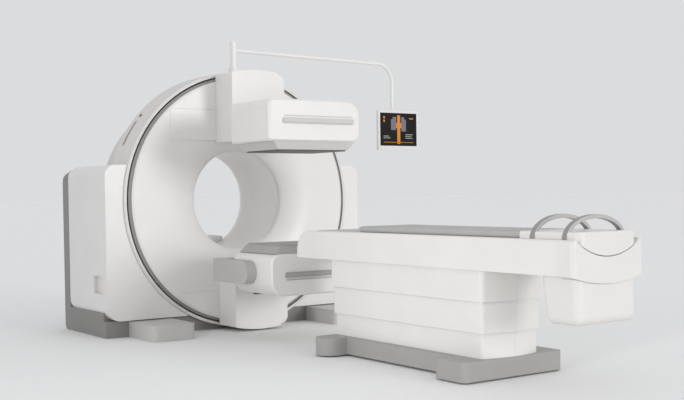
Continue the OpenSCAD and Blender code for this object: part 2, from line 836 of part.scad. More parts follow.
module upper_head_shell() { on_upper() head_shell(upper_face_r); }
module lower_head_shell() {
    translate([0, 0, iso_h]) rotate([0, 180, 0]) head_shell(lower_face_r);
}
module upper_collimator() { color("#cbc9c7") on_upper() collimator(upper_face_r); }
module lower_collimator() { color("#b0aeac") on_lower() collimator(lower_face_r); }
module upper_touch_plate() { on_upper() touch_plate(upper_face_r); }
module lower_touch_plate() { on_lower() touch_plate(lower_face_r); }
module upper_bumper() { on_upper() bumper(upper_face_r); }
module lower_bumper() { on_lower() bumper(lower_face_r); }
module upper_crystal() { on_upper() crystal(upper_face_r); }
module lower_crystal() { on_lower() crystal(lower_face_r); }
module upper_tube_array() { on_upper() tube_array(upper_face_r); }
module lower_tube_array() { on_lower() tube_array(lower_face_r); }

// Tomography rotor

ct_rotor_y = drum_len + 60;
ct_hub_r = bore_r + liner_t + ct_t + eps;
detector_r = ct_r - 220;
detector_h = 70;
detector_len = 110;
source_r = 74;
module ct_rotor() {
    color("#8c8f94") {
        bore_ring(ct_hub_r + 30, ct_hub_r + run_gap, ct_rotor_y, flare_y - 2);
        bore_ring(ct_r - 60, ct_hub_r + 20, ct_rotor_y, ct_rotor_y + 24);
    }
}

module xray_tube() {
    color("#b8babd") translate([0, ct_rotor_y + 24, iso_h + detector_r]) {
        rod_y(source_r, 0, 190);
        translate([-60, 0, -90]) cube([120, 150, 60]);
    }
}

module ct_detector() {
    color("#5f6265") translate([0, 0, iso_h]) rotate([-90, 0, 0]) rotate([0, 0, 90 - 27])
        rotate_extrude(angle = 54, $fn = 160)
            translate([detector_r, ct_rotor_y + 24]) square([detector_h, detector_len]);
}

// Boom and monitor

module boom_socket() {
    base = iso_h + sqrt(pow(drum_r, 2) - pow(post.x + socket_r + 24, 2)) - 3;
    color("#dcdad7") translate([post.x, post.y, 0]) difference() {
        union() {
            translate([0, 0, base]) cylinder(r = socket_r + 18, h = 14);
            translate([0, 0, base]) cylinder(r = socket_r, h = socket_h);
        }
        translate([-post.x, -post.y, 0]) rod_y(drum_r + eps, 0, drum_len, 0, iso_h);
        translate([0, 0, iso_h + drum_r + 6]) cylinder(r = post_r + run_gap, h = 200);
    }
}

module boom() {
    foot = iso_h + drum_r + 6 + eps;
    color("#e4e2df") translate([post.x, post.y, 0]) {
        translate([0, 0, foot]) cylinder(r = post_r, h = boom_z + 50 - foot);
        translate([0, 0, boom_z + 50]) sphere(r = post_r, $fn = 48);
        rotate([0, 0, boom_turn]) {
            translate([0, 0, boom_z]) rotate([0, 90, 0]) cylinder(r = boom_r, h = boom_len - bend_r);
            translate([boom_len - bend_r, 0, boom_z - bend_r]) rotate([90, 0, 0])
                rotate_extrude(angle = 90, $fn = 96) translate([bend_r, 0]) circle(r = boom_r, $fn = 48);
            translate([boom_len, 0, drop_end]) cylinder(r = boom_r, h = boom_z - bend_r - drop_end);
        }
    }
}

module monitor_yoke() {
    color("#d2d0cd") translate([boom_tip.x, boom_tip.y, drop_end]) difference() {
        union() {
            translate([0, 0, -34]) cylinder(r = boom_r + 3.5, h = 70);
            translate([-16, -34, -34]) cube([32, 34, 34]);
        }
        cylinder(r = boom_r + run_gap, h = 60);
        translate([0, -22, -18]) rotate([0, 90, 0]) cylinder(r = 6 + run_gap, h = 60, center = true);
        translate([0, 0, -eps]) cylinder(r = boom_r + run_gap, h = 2*eps);
    }
}

module monitor_housing() {
    color("#dddbd8") translate([boom_tip.x, monitor_y, monitor_z]) {
        difference() {
            union() {
                rotate([90, 0, 0]) linear_extrude(monitor_t/2) round_rect(monitor_w, monitor_h, 9);
                rotate([-90, 0, 0]) linear_extrude(monitor_t/2)
                    round_rect(monitor_w - 60, monitor_h - 60, 14);
            }
            translate([0, -monitor_t/2, 6]) cube([monitor_w - 40, 6, monitor_h - 52], center = true);
        }
        for (s = [-1, 1]) translate([s*24, (monitor_t + 18)/2, drop_end - 18 - monitor_z]) rotate([90, 0, 0])
            linear_extrude(40, center = true) square([14, 34], center = true);
        translate([0, 40, drop_end - 18 - monitor_z]) rotate([0, 90, 0])
            cylinder(r = 6, h = 50, center = true);
    }
}

module monitor_screen() {
    color("#231f20") translate([boom_tip.x, monitor_y - monitor_t/2 + 3 - eps, monitor_z + 6])
        rotate([90, 0, 0]) linear_extrude(2) square([monitor_w - 41, monitor_h - 53], center = true);
}

// Patient table

module table_base() {
    near = base_near;
    far_y = -base_far;
    color("#96928f") difference() {
        union() {
            translate([-beam_w/2, -near + 60, 12]) cube([beam_w, near - 60 + far_y, base_h - 12]);
            translate([0, -near + 117, 8]) linear_extrude(base_h - 8) round_rect(base_w, 234, 34);
            translate([0, far_y, 8]) linear_extrude(base_h - 8) round_rect(base_w + 60, 172, 85);
        }
        for (x = [-1, 1], y = [0, 1]) translate([x*150, -2420 + y*740, -1])
            cylinder(d = anchor_d - 4, h = base_h + 2);
    }
}

module table_feet() {
    color("#5c5957") for (s = [-1, 1], y = [-base_near + 36, -base_far])
        translate([s*(base_w/2 - 30), y, 0]) cylinder(r = 22, h = 8, $fn = 40);
}

// Plan of a column cover: straight sides, bulging ends, round corners
module cover_plan(w, d, r) {
    bow_r = (pow(w/2 - 12, 2) + pow(column_bow, 2))/(2*column_bow);
    bow_y = d/2 + column_bow - bow_r;
    corner = [w/2 - r, bow_y + sqrt(pow(bow_r - r, 2) - pow(w/2 - r, 2))];
    meet = atan2(corner.y - bow_y, corner.x);
    half = concat(arc(corner, r, 0, meet, 6), arc([0, bow_y], bow_r, meet, 180 - meet, 12),
        arc([-corner.x, corner.y], r, 180 - meet, 180, 6));
    polygon(concat(half, [for (p = half) -p]));
}

// One telescoping cover; tier 0 is the lowest and the narrowest
module column_cover(tier, z0, h) {
    w = column_w - 2*column_step*(2 - tier);
    d = column_len - 2*column_step*(2 - tier);
    color("#e3e1df") translate([0, column_y, z0]) difference() {
        linear_extrude(h) difference() {
            cover_plan(w, d, 30);
            cover_plan(w - 2*column_t, d - 2*column_t, 30 - column_t);
        }
        for (s = [-1, 1]) translate([0, s*(d/2 + column_bow), h/2]) cube([2, 3, h + 2], center = true);
    }
}

module column_lower_cover() { column_cover(0, tier_seams[0], 212); }
module column_middle_cover() {
    column_cover(1, tier_seams[1], 243);
    middle_guides();
}
module column_upper_cover() { column_cover(2, tier_seams[2], frame_z - tier_seams[2]); }

// Glide pads that carry the middle cover on the lower one
module middle_guides() {
    in_w = column_w - 4*column_step;
    color("#bdbab6") for (s = [-1, 1], y = [-1, 1])
        translate([s*(in_w/2 + eps + (column_step - column_t)/2 + 0.5), column_y + y*450, tier_seams[1] + 20])
            cube([column_step - column_t + 1 - eps, 60, 30], center = true);
}

lift_at = [-1750, -2350];
module lift_tubes() {
    color("#85888c") for (y = lift_at) translate([0, y, base_h]) difference() {
        cylinder(r = lift_r + 8, h = 300);
        translate([0, 0, 6]) cylinder(r = lift_r + run_gap, h = 310);
    }
}

module lift_rods() {
    color("#c3c5c8") for (y = lift_at) translate([0, y, base_h + 155])
        cylinder(r = lift_r, h = frame_z - base_h - 155);
}

module table_frame() {
    r = frame_nose_r;
    color("#e7e5e3") difference() {
        intersection() {
            translate([-frame_w/2, 0, 0]) rotate([90, 0, 90]) linear_extrude(frame_w) polygon(concat(
                [[frame_near, frame_z], [frame_near, frame_top]],
                arc([-frame_far - r, frame_top - r], r, 90, 0, 12),
                arc([-frame_far - 14, frame_z + 14], 14, 0, -90, 4)));
            soft_top(frame_w, frame_near - 1, 1 - frame_far);
        }
        pallet_channel(frame_near - 1, 1 - frame_far);
    }
}

// Section of width w with softly broken upper edges, from y0 to y1
module soft_top(w, y0, y1) {
    r = frame_edge_r;
    along_y(y0, y1) polygon(concat(
        [[-w/2, frame_z - 100], [w/2, frame_z - 100]],
        arc([w/2 - r, frame_top - r + 0.4], r, 0, 90, 7),
        arc([-w/2 + r, frame_top - r + 0.4], r, 90, 180, 7)));
}

// Cross-section of the pallet with its curved keel, grown by g and closed at height top
module pallet_section(g, top) {
    intersection() {
        translate([0, pallet_top - pallet_dip + keel_r]) circle(keel_r + g, $fn = 320);
        translate([-pallet_w/2 - g, pallet_top - 2*pallet_dip])
            square([pallet_w + 2*g, top - pallet_top + 2*pallet_dip]);
    }
}

// Channel in which the pallet slides
module pallet_channel(y0, y1) { along_y(y0, y1) pallet_section(pallet_gap, pallet_top + 60); }

// Plan of the table's near end, between depths y0 and the end, shrunk by t
module end_plan(w, y0, r) {
    translate([-w/2, table_end + r]) square([w, y0 - table_end - r]);
    translate([-w/2 + r, table_end]) square([w - 2*r, r + 1]);
    for (x = [-1, 1]) translate([x*(w/2 - r), table_end + r]) circle(r + 0.4, $fn = 64);
}

// Space above the bulging underside of the table's near end, set down by g
module above_belly(g = 0) {
    along_y(table_end - 50, frame_near + 1) difference() {
        translate([-frame_w, frame_z - 2*cap_sag]) square([2*frame_w, frame_h + 2*cap_sag]);
        translate([-frame_w, frame_z - 2*cap_sag]) square([2*frame_w, 2*cap_sag + 2 - g]);
    }
    along_y(table_end - 50, frame_near + 1) intersection() {
        translate([0, frame_z - cap_sag + belly_r + 2]) circle(belly_r + g, $fn = 320);
        translate([-cap_w/2 - 1, frame_z - 2*cap_sag]) square([cap_w + 2, 2*cap_sag + 3]);
    }
}

module table_end_cap() {
    color("#e5e3e1") difference() {
        intersection() {
            translate([0, 0, frame_z - cap_sag - 1]) linear_extrude(frame_h + cap_sag + 1)
                end_plan(cap_w, frame_near - eps, cap_corner_r);
            above_belly();
            soft_top(cap_w + 0.6, table_end - 1, frame_near);
        }
        pallet_channel(table_end - 1, frame_near + 1);
    }
}

module control_box() {
    r = 40;
    near = table_end + 8;
    far = near + box_len;
    color("#e6e4e2") difference() {
        hull() {
            for (x = [-1, 1], y = [near + r, far - r - 32])
                translate([x*(box_w/2 - r), y, frame_z - box_h + r]) sphere(r, $fn = 32);
            for (x = [-1, 1], y = [near + r, far - r])
                translate([x*(box_w/2 - r), y, frame_z - 1 - eps]) cylinder(r = r, h = 1, $fn = 32);
        }
        above_belly(eps);
    }
}

module pallet() {
    tip = 90;
    color("#d9d7d4") intersection() {
        along_y(pallet_near, -pallet_far) pallet_section(0, pallet_top);
        translate([0, 0, frame_z]) linear_extrude(frame_h + 10) {
            translate([-pallet_w/2 - 1, pallet_near - 1])
                square([pallet_w + 2, -pallet_near - pallet_far - tip + 1]);
            translate([0, -pallet_far - tip]) intersection() {
                circle(r = pallet_w/2 + 2, $fn = 160);
                translate([-pallet_w/2 - 1, -1]) square([pallet_w + 2, tip + 2]);
            }
        }
    }
}

module pallet_end() {
    r = 12;
    rise = 34;
    top = pallet_top + rise;
    w = pallet_w - 16;
    notch_x = (pallet_w/2 - 20)*sqrt(1 - pow(rise/(hoop_h - 19), 2)) - 2;
    color("#e8e6e4") difference() {
        union() {
            along_y(pallet_near + 8, -mattress_near) round_top(w, pallet_top, top, r);
            intersection() {
                along_y(table_end - 1, pallet_near - eps) {
                    pallet_section(0, pallet_top);
                    round_top(pallet_w - 12, pallet_top - 1, top, r);
                }
                translate([0, 0, frame_z]) linear_extrude(frame_h + 60)
                    end_plan(pallet_w - 12, pallet_near, 40);
            }
            along_y(pallet_near - 1, pallet_near + 9) round_top(w, pallet_top, top, r);
        }
        for (s = [0, 1], y = hoop_y) mirror([s, 0, 0]) translate([notch_x, y - hoop_bar/2 - eps, pallet_top])
            cube([pallet_w/2 - notch_x + 3, hoop_bar + 2*eps, rise + 1]);
    }
}

// A bar's section with round upper edges, in X and Z
module round_top(w, z0, z1, r) {
    translate([-w/2, z0]) square([w, z1 - z0 - r]);
    translate([-w/2 + r, z1 - r - 1]) square([w - 2*r, r + 1]);
    for (x = [-1, 1]) translate([x*(w/2 - r), z1 - r]) circle(r, $fn = 48);
}

module mattress() {
    color("#a8a6a4") translate([0, 0, pallet_top]) difference() {
        translate([-pallet_w/2 + 8, -mattress_near, 0]) cube([pallet_w - 16, mattress_len - eps, mattress_t]);
        translate([-pallet_w, -mattress_far - 70, 0]) rotate([-23, 0, 0]) cube([2*pallet_w, 200, 100]);
    }
}

// One arched handle across the near end of the pallet
module hoop(y) {
    w = pallet_w/2 - 1;
    t = 19;
    translate([0, y, pallet_top]) rotate([90, 0, 0]) linear_extrude(hoop_bar, center = true)
        difference() {
            scale([1, hoop_h/w]) circle(r = w, $fn = 160);
            scale([1, (hoop_h - t)/(w - t)]) circle(r = w - t, $fn = 160);
            translate([-w - 1, -2*hoop_h]) square([2*w + 2, 2*hoop_h]);
        }
}

module hoops() {
    color("#9b9997") for (y = hoop_y) hoop(y);
}

plinth();
outrigger_feet();
left_tower_cover();
right_tower_cover();
rear_cover();
ct_housing();
tunnel_flare();
drum_cover();
drum_slot_trim();
status_lens();
tunnel_liner();
stator_plate();
bearing_outer_race();
drive_motor();
boom_socket();
table_base();
table_feet();
column_lower_cover();
lift_tubes();
rotor_cover();
rotor_rim();
rotor_frame();
ring_gear();
bearing_inner_race();
flank_panels();
upper_mount_cover();
lower_mount_cover();
guide_rails();
drive_pinion();
upper_carriage();
lower_carriage();
upper_head_shell();
lower_head_shell();
upper_collimator();
lower_collimator();
upper_touch_plate();
lower_touch_plate();
upper_bumper();
lower_bumper();
upper_crystal();
lower_crystal();
upper_tube_array();
lower_tube_array();
ct_rotor();
xray_tube();
ct_detector();
boom();
monitor_yoke();
monitor_housing();
monitor_screen();
column_middle_cover();
column_upper_cover();
table_frame();
table_end_cap();
control_box();
lift_rods();
pallet();
pallet_end();
mattress();
hoops();
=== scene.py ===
"""Looks of the hybrid body scanner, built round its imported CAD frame.

Every length is in metres unless its name ends in _mm, in the row frame: +X to
the right seen from the patient table, +Y from the table into the bore, +Z up,
with the origin on the floor under the centre of the rotor's front face.
"""

import json
import logging
import math
from dataclasses import dataclass, field
from enum import Enum
from typing import Callable, Sequence

import bmesh
import bpy
from mathutils import Matrix, Vector

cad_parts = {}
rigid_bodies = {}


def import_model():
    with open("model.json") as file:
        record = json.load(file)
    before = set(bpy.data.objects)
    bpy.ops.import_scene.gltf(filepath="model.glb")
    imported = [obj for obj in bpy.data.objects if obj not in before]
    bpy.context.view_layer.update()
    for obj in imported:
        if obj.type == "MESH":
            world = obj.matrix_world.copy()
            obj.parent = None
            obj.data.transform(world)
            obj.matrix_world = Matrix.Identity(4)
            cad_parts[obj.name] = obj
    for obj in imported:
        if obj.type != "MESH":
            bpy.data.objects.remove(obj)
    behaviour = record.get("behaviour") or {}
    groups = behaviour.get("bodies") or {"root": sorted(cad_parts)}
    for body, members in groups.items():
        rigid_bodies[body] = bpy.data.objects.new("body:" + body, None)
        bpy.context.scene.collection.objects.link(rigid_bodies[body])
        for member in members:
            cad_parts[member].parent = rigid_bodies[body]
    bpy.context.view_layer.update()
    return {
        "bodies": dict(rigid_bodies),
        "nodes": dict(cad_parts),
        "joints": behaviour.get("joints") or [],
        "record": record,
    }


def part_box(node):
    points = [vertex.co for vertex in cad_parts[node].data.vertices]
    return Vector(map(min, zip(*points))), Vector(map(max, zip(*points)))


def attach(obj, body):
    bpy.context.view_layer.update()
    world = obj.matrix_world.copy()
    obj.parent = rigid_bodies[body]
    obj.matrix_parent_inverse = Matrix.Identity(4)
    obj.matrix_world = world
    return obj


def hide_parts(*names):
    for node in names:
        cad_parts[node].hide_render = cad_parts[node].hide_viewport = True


LOG = logging.getLogger("scanner")
MM = 0.001

# Corners of a CAD node's loose triangles that lie closer than this are one corner.
WELD_DISTANCE = 0.00002

# Patches over which a colour wanders and a roughness varies, and how far the second goes.
TONE_PATCH_MM = 220.0
WEAR_PATCH_MM = 60.0
WEAR_SPREAD = 0.12

# Values of the noise between which a colour goes from its darker to its lighter end.
TONE_LOW, TONE_HIGH = 0.35, 0.65

# How squarely a face looks along Y where it starts to take its painted light, the lighter face colour, and
# where it has it in full.
LIT_FACE_FROM, LIT_FACE_FULL = 0.45, 0.75

COAT_ROUGHNESS = 0.12
BUMP_STRENGTH = 0.6

# Rounding of the CAD nodes' sharp edges.
PLAIN_EDGE_MM = 2.0
EDGE_SEGMENTS = 3
EDGE_ANGLE = math.radians(35)


class Look(Enum):
    """The kinds of surface that the scanner's pieces have."""

    PAINT = "paint"
    MOULDED = "moulded"
    METAL = "metal"
    RUBBER = "rubber"
    UPHOLSTERY = "upholstery"
    GLASS = "glass"
    SCREEN = "screen"


class Side(Enum):
    """The two detector heads, by the side of the bore on which they rest."""

    UPPER = "upper"
    LOWER = "lower"


def linear(channel: float) -> float:
    """Turns one sRGB channel into linear light.

    Args:
        channel: The sRGB value, 0 to 1.

    Returns:
        The linear value, 0 to 1.
    """
    if channel <= 0.04045:
        return channel / 12.92
    return ((channel + 0.055) / 1.055) ** 2.4


def rgba(hex_colour: str) -> tuple[float, float, float, float]:
    """Reads a colour written as six hexadecimal digits.

    Args:
        hex_colour: The colour, such as "e6e4e2".

    Returns:
        The linear colour with full opacity.
    """
    parts = [int(hex_colour[i : i + 2], 16) / 255 for i in (0, 2, 4)]
    red, green, blue = (linear(part) for part in parts)
    return red, green, blue, 1.0


# Materials that are built already, by the name of their finish.
BUILT: dict[str, bpy.types.Material] = {}


@dataclass(frozen=True)
class Finish:
    """One surface finish, from which a node material is built.

    Attributes:
        name: Name of the finish.
        look: Kind of surface.
        colour: Base colour, six hexadecimal digits.
        roughness: Mean roughness of the surface.
        metallic: How metallic the surface is.
        coat: Weight of a clear coat.
        grain_mm: Size of the surface's grain.
        grain_height_mm: Height of the grain.
        tone: How far the colour wanders over the piece.
        sheen: How strongly the bare surface mirrors at a glance.
        y_lit_colour: Painted light: the lighter colour of the faces that look along Y, standing in for the
            light that falls on them, if it is another one.
    """

    name: str
    look: Look
    colour: str
    roughness: float = 0.45
    metallic: float = 0.0
    coat: float = 0.0
    grain_mm: float = 1.6
    grain_height_mm: float = 0.02
    tone: float = 0.012
    sheen: float = 0.5
    y_lit_colour: str = ""

    def material(self) -> bpy.types.Material:
        """Builds the material once and gives it back after that.

        Returns:
            The node material.
        """
        found = BUILT.get(self.name)
        if found is not None:
            return found
        material = bpy.data.materials.new(f"{self.name}_look")
        BUILT[self.name] = material
        material.use_nodes = True
        material.diffuse_color = rgba(self.colour)
        tree = material.node_tree
        shader = tree.nodes["Principled BSDF"]
        shader.inputs["Metallic"].default_value = self.metallic
        shader.inputs["Coat Weight"].default_value = self.coat
        shader.inputs["Coat Roughness"].default_value = COAT_ROUGHNESS
        shader.inputs["Specular IOR Level"].default_value = self.sheen
        place = tree.nodes.new("ShaderNodeTexCoord").outputs["Object"]
        self._colour_nodes(tree, shader, place)
        self._roughness_nodes(tree, shader, place)
        self._bump_nodes(tree, shader, place)
        LOG.info("material %s", self.name)
        return material

    def _noise(self, tree: bpy.types.NodeTree, place: bpy.types.NodeSocket,
               size_mm: float, detail: float = 2.0) -> bpy.types.NodeSocket:
        """Adds a noise texture whose blobs have the given size.

        Args:
            tree: The material's node tree.
            place: Socket with the object's coordinates.
            size_mm: Size of one blob.
            detail: Octaves of finer noise.

        Returns:
            The noise's value socket.
        """
        noise = tree.nodes.new("ShaderNodeTexNoise")
        noise.inputs["Scale"].default_value = 1.0 / (size_mm * MM)
        noise.inputs["Detail"].default_value = detail
        tree.links.new(place, noise.inputs["Vector"])
        return noise.outputs["Fac"]

    def _colour_nodes(self, tree: bpy.types.NodeTree, shader: bpy.types.Node,
                      place: bpy.types.NodeSocket) -> None:
        """Lets the base colour wander a little over the piece.

        Args:
            tree: The material's node tree.
            shader: The principled shader.
            place: Socket with the object's coordinates.
        """
        base = rgba(self.colour)
        ramp = tree.nodes.new("ShaderNodeValToRGB")
        low, high = ramp.color_ramp.elements
        low.position, high.position = TONE_LOW, TONE_HIGH
        low.color = (*(c * (1.0 - self.tone) for c in base[:3]), 1.0)
        high.color = (*(min(1.0, c * (1.0 + self.tone)) for c in base[:3]), 1.0)
        tree.links.new(self._noise(tree, place, TONE_PATCH_MM), ramp.inputs["Fac"])
        colour = ramp.outputs["Color"]
        # Painted light: faces that look along Y take a lighter colour.
        if self.y_lit_colour:
            colour = self._paint_y_light(tree, colour)
        tree.links.new(colour, shader.inputs["Base Color"])

    def _paint_y_light(self, tree: bpy.types.NodeTree, colour: bpy.types.NodeSocket) -> bpy.types.NodeSocket:
        """Paints light on the faces that look along Y: gives them a lighter colour that stands in for the
        light falling on them.

        Args:
            tree: The material's node tree.
            colour: Socket with the colour of the other faces.

        Returns:
            Socket with the colour of all faces.
        """
        split = tree.nodes.new("ShaderNodeSeparateXYZ")
        tree.links.new(tree.nodes.new("ShaderNodeTexCoord").outputs["Normal"], split.inputs["Vector"])
        size = tree.nodes.new("ShaderNodeMath")
        size.operation = "ABSOLUTE"
        tree.links.new(split.outputs["Y"], size.inputs[0])
        step = tree.nodes.new("ShaderNodeMapRange")
        step.inputs["From Min"].default_value = LIT_FACE_FROM
        step.inputs["From Max"].default_value = LIT_FACE_FULL
        tree.links.new(size.outputs[0], step.inputs["Value"])
        mix = tree.nodes.new("ShaderNodeMix")
        mix.data_type = "RGBA"
        tree.links.new(step.outputs["Result"], mix.inputs["Factor"])
        tree.links.new(colour, mix.inputs["A"])
        mix.inputs["B"].default_value = rgba(self.y_lit_colour)
        return mix.outputs["Result"]

    def _roughness_nodes(self, tree: bpy.types.NodeTree, shader: bpy.types.Node,
                         place: bpy.types.NodeSocket) -> None:
        """Varies the roughness as handling and wiping do.

        Args:
            tree: The material's node tree.
            shader: The principled shader.
            place: Socket with the object's coordinates.
        """
        spread = tree.nodes.new("ShaderNodeMapRange")
        spread.inputs["To Min"].default_value = self.roughness * (1.0 - WEAR_SPREAD)
        spread.inputs["To Max"].default_value = min(1.0, self.roughness * (1.0 + WEAR_SPREAD))
        tree.links.new(self._noise(tree, place, WEAR_PATCH_MM, 4.0), spread.inputs["Value"])
        tree.links.new(spread.outputs["Result"], shader.inputs["Roughness"])

    def _bump_nodes(self, tree: bpy.types.NodeTree, shader: bpy.types.Node,
                    place: bpy.types.NodeSocket) -> None:
        """Adds the fine grain of the surface.

        Args:
            tree: The material's node tree.
            shader: The principled shader.
            place: Socket with the object's coordinates.
        """
        bump = tree.nodes.new("ShaderNodeBump")
        bump.inputs["Distance"].default_value = self.grain_height_mm * MM
        bump.inputs["Strength"].default_value = BUMP_STRENGTH
        if self.look is Look.UPHOLSTERY:
            cells = tree.nodes.new("ShaderNodeTexVoronoi")
            cells.inputs["Scale"].default_value = 1.0 / (self.grain_mm * MM)
            tree.links.new(place, cells.inputs["Vector"])
            height = cells.outputs["Distance"]
        else:
            height = self._noise(tree, place, self.grain_mm)
        tree.links.new(height, bump.inputs["Height"])
        tree.links.new(bump.outputs["Normal"], shader.inputs["Normal"])


WHITE_COVER = Finish("white_cover", Look.PAINT, "e4e2e0", 0.42, coat=0.12)
WHITE_HEAD = Finish("white_head", Look.PAINT, "e5e3e0", 0.40, coat=0.15)
WHITE_ROTOR = Finish("white_rotor", Look.PAINT, "e3e1df", 0.42, coat=0.12)
WHITE_TUNNEL = Finish("white_tunnel", Look.MOULDED, "e6e4e2", 0.38, coat=0.15)
WHITE_TABLE = Finish("white_table", Look.PAINT, "e5e3e0", 0.42, coat=0.12)
# Painted shade: a darker copy of the table white, which dims the end cap, the control box and the pallet's
# end piece.
WHITE_TABLE_SHADED = Finish("white_table_shaded", Look.PAINT, "e1dfdc", 0.42, coat=0.12)
WHITE_BOOM = Finish("white_boom", Look.PAINT, "e8e6e3", 0.40, coat=0.12)
PALE_HOUSING = Finish("pale_housing", Look.PAINT, "d4d1ce", 0.45)
PALE_DRUM = Finish("pale_drum", Look.PAINT, "d9d6d3", 0.45)
PALE_TRIM = Finish("pale_trim", Look.PAINT, "8d8a88", 0.45)
# Painted light and shade: one collimator grey, in a lighter copy for the upper head and a darker copy for the
# lower head, which lies in shade.
COLLIMATOR_LIT = Finish("collimator_lit", Look.PAINT, "cbc8c5", 0.46)
COLLIMATOR_SHADED = Finish("collimator_shaded", Look.PAINT, "a9a7a5", 0.46)
# Painted shade: the carriages' grey stands in for the shade in the recess between the mount and the head.
ARM_PAINTED_SHADE = Finish("arm_painted_shade", Look.PAINT, "b6b4b2", 0.45)
GREY_RIM = Finish("grey_rim", Look.PAINT, "8f8d8c", 0.40)
GREY_BASE = Finish("grey_base", Look.PAINT, "a19f9d", 0.50)
GREY_FOOT = Finish("grey_foot", Look.PAINT, "c4c2c0", 0.50)
GREY_PLINTH = Finish("grey_plinth", Look.PAINT, "898785", 0.50)
GREY_BACK = Finish("grey_back", Look.PAINT, "8a8886", 0.50)
GREY_BUMPER = Finish("grey_bumper", Look.RUBBER, "cac7c5", 0.55, grain_height_mm=0.04)
# Painted shade: a darker copy of the bumper grey for the lower head, which lies in shade.
BUMPER_SHADED = Finish("bumper_shaded", Look.RUBBER, "a8a5a3", 0.55, grain_height_mm=0.04)
GREY_PALLET = Finish("grey_pallet", Look.MOULDED, "b5b3b0", 0.42)
# Painted light: the hoops' sides keep the darker grey, and their faces that look along Y are painted lighter,
# as if lit from the front.
HOOP_PAINTED_LIGHT = Finish("hoop_painted_light", Look.MOULDED, "8f8d8b", 0.42, y_lit_colour="b9b6b3")
GREY_MATTRESS = Finish(
    "grey_mattress", Look.UPHOLSTERY, "b0aeac", 0.62, grain_mm=1.5, grain_height_mm=0.12, tone=0.03
)
# Painted shade: the upper head's touch plate, dark where the shade falls under the head; the lower head's
# plate takes the plain grey below.
TOUCH_PLATE_SHADED = Finish("touch_plate_shaded", Look.RUBBER, "5b5958", 0.55, grain_height_mm=0.04)
GREY_TOUCH = Finish("grey_touch", Look.RUBBER, "a3a19f", 0.55, grain_height_mm=0.04)
BLACK_FOOT = Finish("black_foot", Look.RUBBER, "6a6866", 0.65, grain_height_mm=0.06)
DARK_LENS = Finish("dark_lens", Look.GLASS, "2c2423", 0.30, coat=0.1, sheen=0.2)
STEEL = Finish("ground_steel", Look.METAL, "8f9296", 0.32, metallic=1.0, grain_mm=0.8)
CHROME = Finish("chromed_steel", Look.METAL, "c6c8cb", 0.12, metallic=1.0, grain_height_mm=0.004)
ALUMINIUM = Finish("machined_aluminium", Look.METAL, "a6a9ad", 0.38, metallic=1.0, grain_mm=0.8)
MOTOR_GREY = Finish("motor_grey", Look.PAINT, "6f7275", 0.50)
CRYSTAL = Finish("scintillation_crystal", Look.GLASS, "cfe0dc", 0.08, coat=0.6)
TUBE_GLASS = Finish("silvered_glass", Look.GLASS, "9aa5ad", 0.12, metallic=0.6, coat=0.6)
MONITOR_SHELL = Finish("monitor_shell", Look.MOULDED, "dcdad7", 0.48, grain_height_mm=0.04)
SCREEN_BLACK = Finish("screen_black", Look.SCREEN, "1d1a1b", 0.35, sheen=0.08)


def give_finish(piece: bpy.types.Object, finish: Finish) -> None:
    """Gives a piece one finish all over.

    Args:
        piece: The mesh object.
        finish: The finish that it takes.
    """
    piece.data.materials.clear()
    piece.data.materials.append(finish.material())


def weld_corners(piece: bpy.types.Object) -> None:
    """Joins the loose triangles of a carried-over CAD node at their corners."""
    weld = piece.modifiers.new("weld", "WELD")
    weld.merge_threshold = WELD_DISTANCE


def round_edges(piece: bpy.types.Object, radius: float, segments: int, angle: float) -> bpy.types.Modifier:
    """Rounds the sharp edges of a piece.

    Args:
        piece: The mesh object.
        radius: Radius of the rounding.
        segments: Faces across the rounding.
        angle: Least angle of an edge that is rounded.

    Returns:
        The modifier that rounds them.
    """
    bevel = piece.modifiers.new("edge", "BEVEL")
    bevel.width = radius
    bevel.segments = segments
    bevel.limit_method = "ANGLE"
    bevel.angle_limit = angle
    return bevel


def even_mesh(piece: bpy.types.Object, grid: float) -> None:
    """Gives a piece an even mesh that shades smoothly.

    Args:
        piece: The mesh object.
        grid: Size of the mesh's squares.
    """
    remesh = piece.modifiers.new("grid", "REMESH")
    remesh.mode = "VOXEL"
    remesh.voxel_size = grid
    remesh.use_smooth_shade = True


def apply_modifiers(piece: bpy.types.Object) -> None:
    """Replaces a piece's mesh by what its modifiers make of it.

    Args:
        piece: The mesh object.
    """
    bpy.context.view_layer.update()
    evaluated = piece.evaluated_get(bpy.context.evaluated_depsgraph_get())
    mesh = bpy.data.meshes.new_from_object(evaluated)
    piece.modifiers.clear()
    piece.data = mesh


def new_piece(name: str, build: Callable[[bmesh.types.BMesh], None], finish: Finish) -> bpy.types.Object:
    """Makes a mesh piece at the row frame's origin.

    Args:
        name: Name of the piece.
        build: Fills the mesh.
        finish: The piece's finish.

    Returns:
        The new object, linked to the scene.
    """
    mesh = bpy.data.meshes.new(name)
    shape = bmesh.new()
    build(shape)
    bmesh.ops.recalc_face_normals(shape, faces=shape.faces)
    shape.to_mesh(mesh)
    shape.free()
    piece = bpy.data.objects.new(name, mesh)
    bpy.context.scene.collection.objects.link(piece)
    give_finish(piece, finish)
    LOG.info("piece %s", name)
    return piece


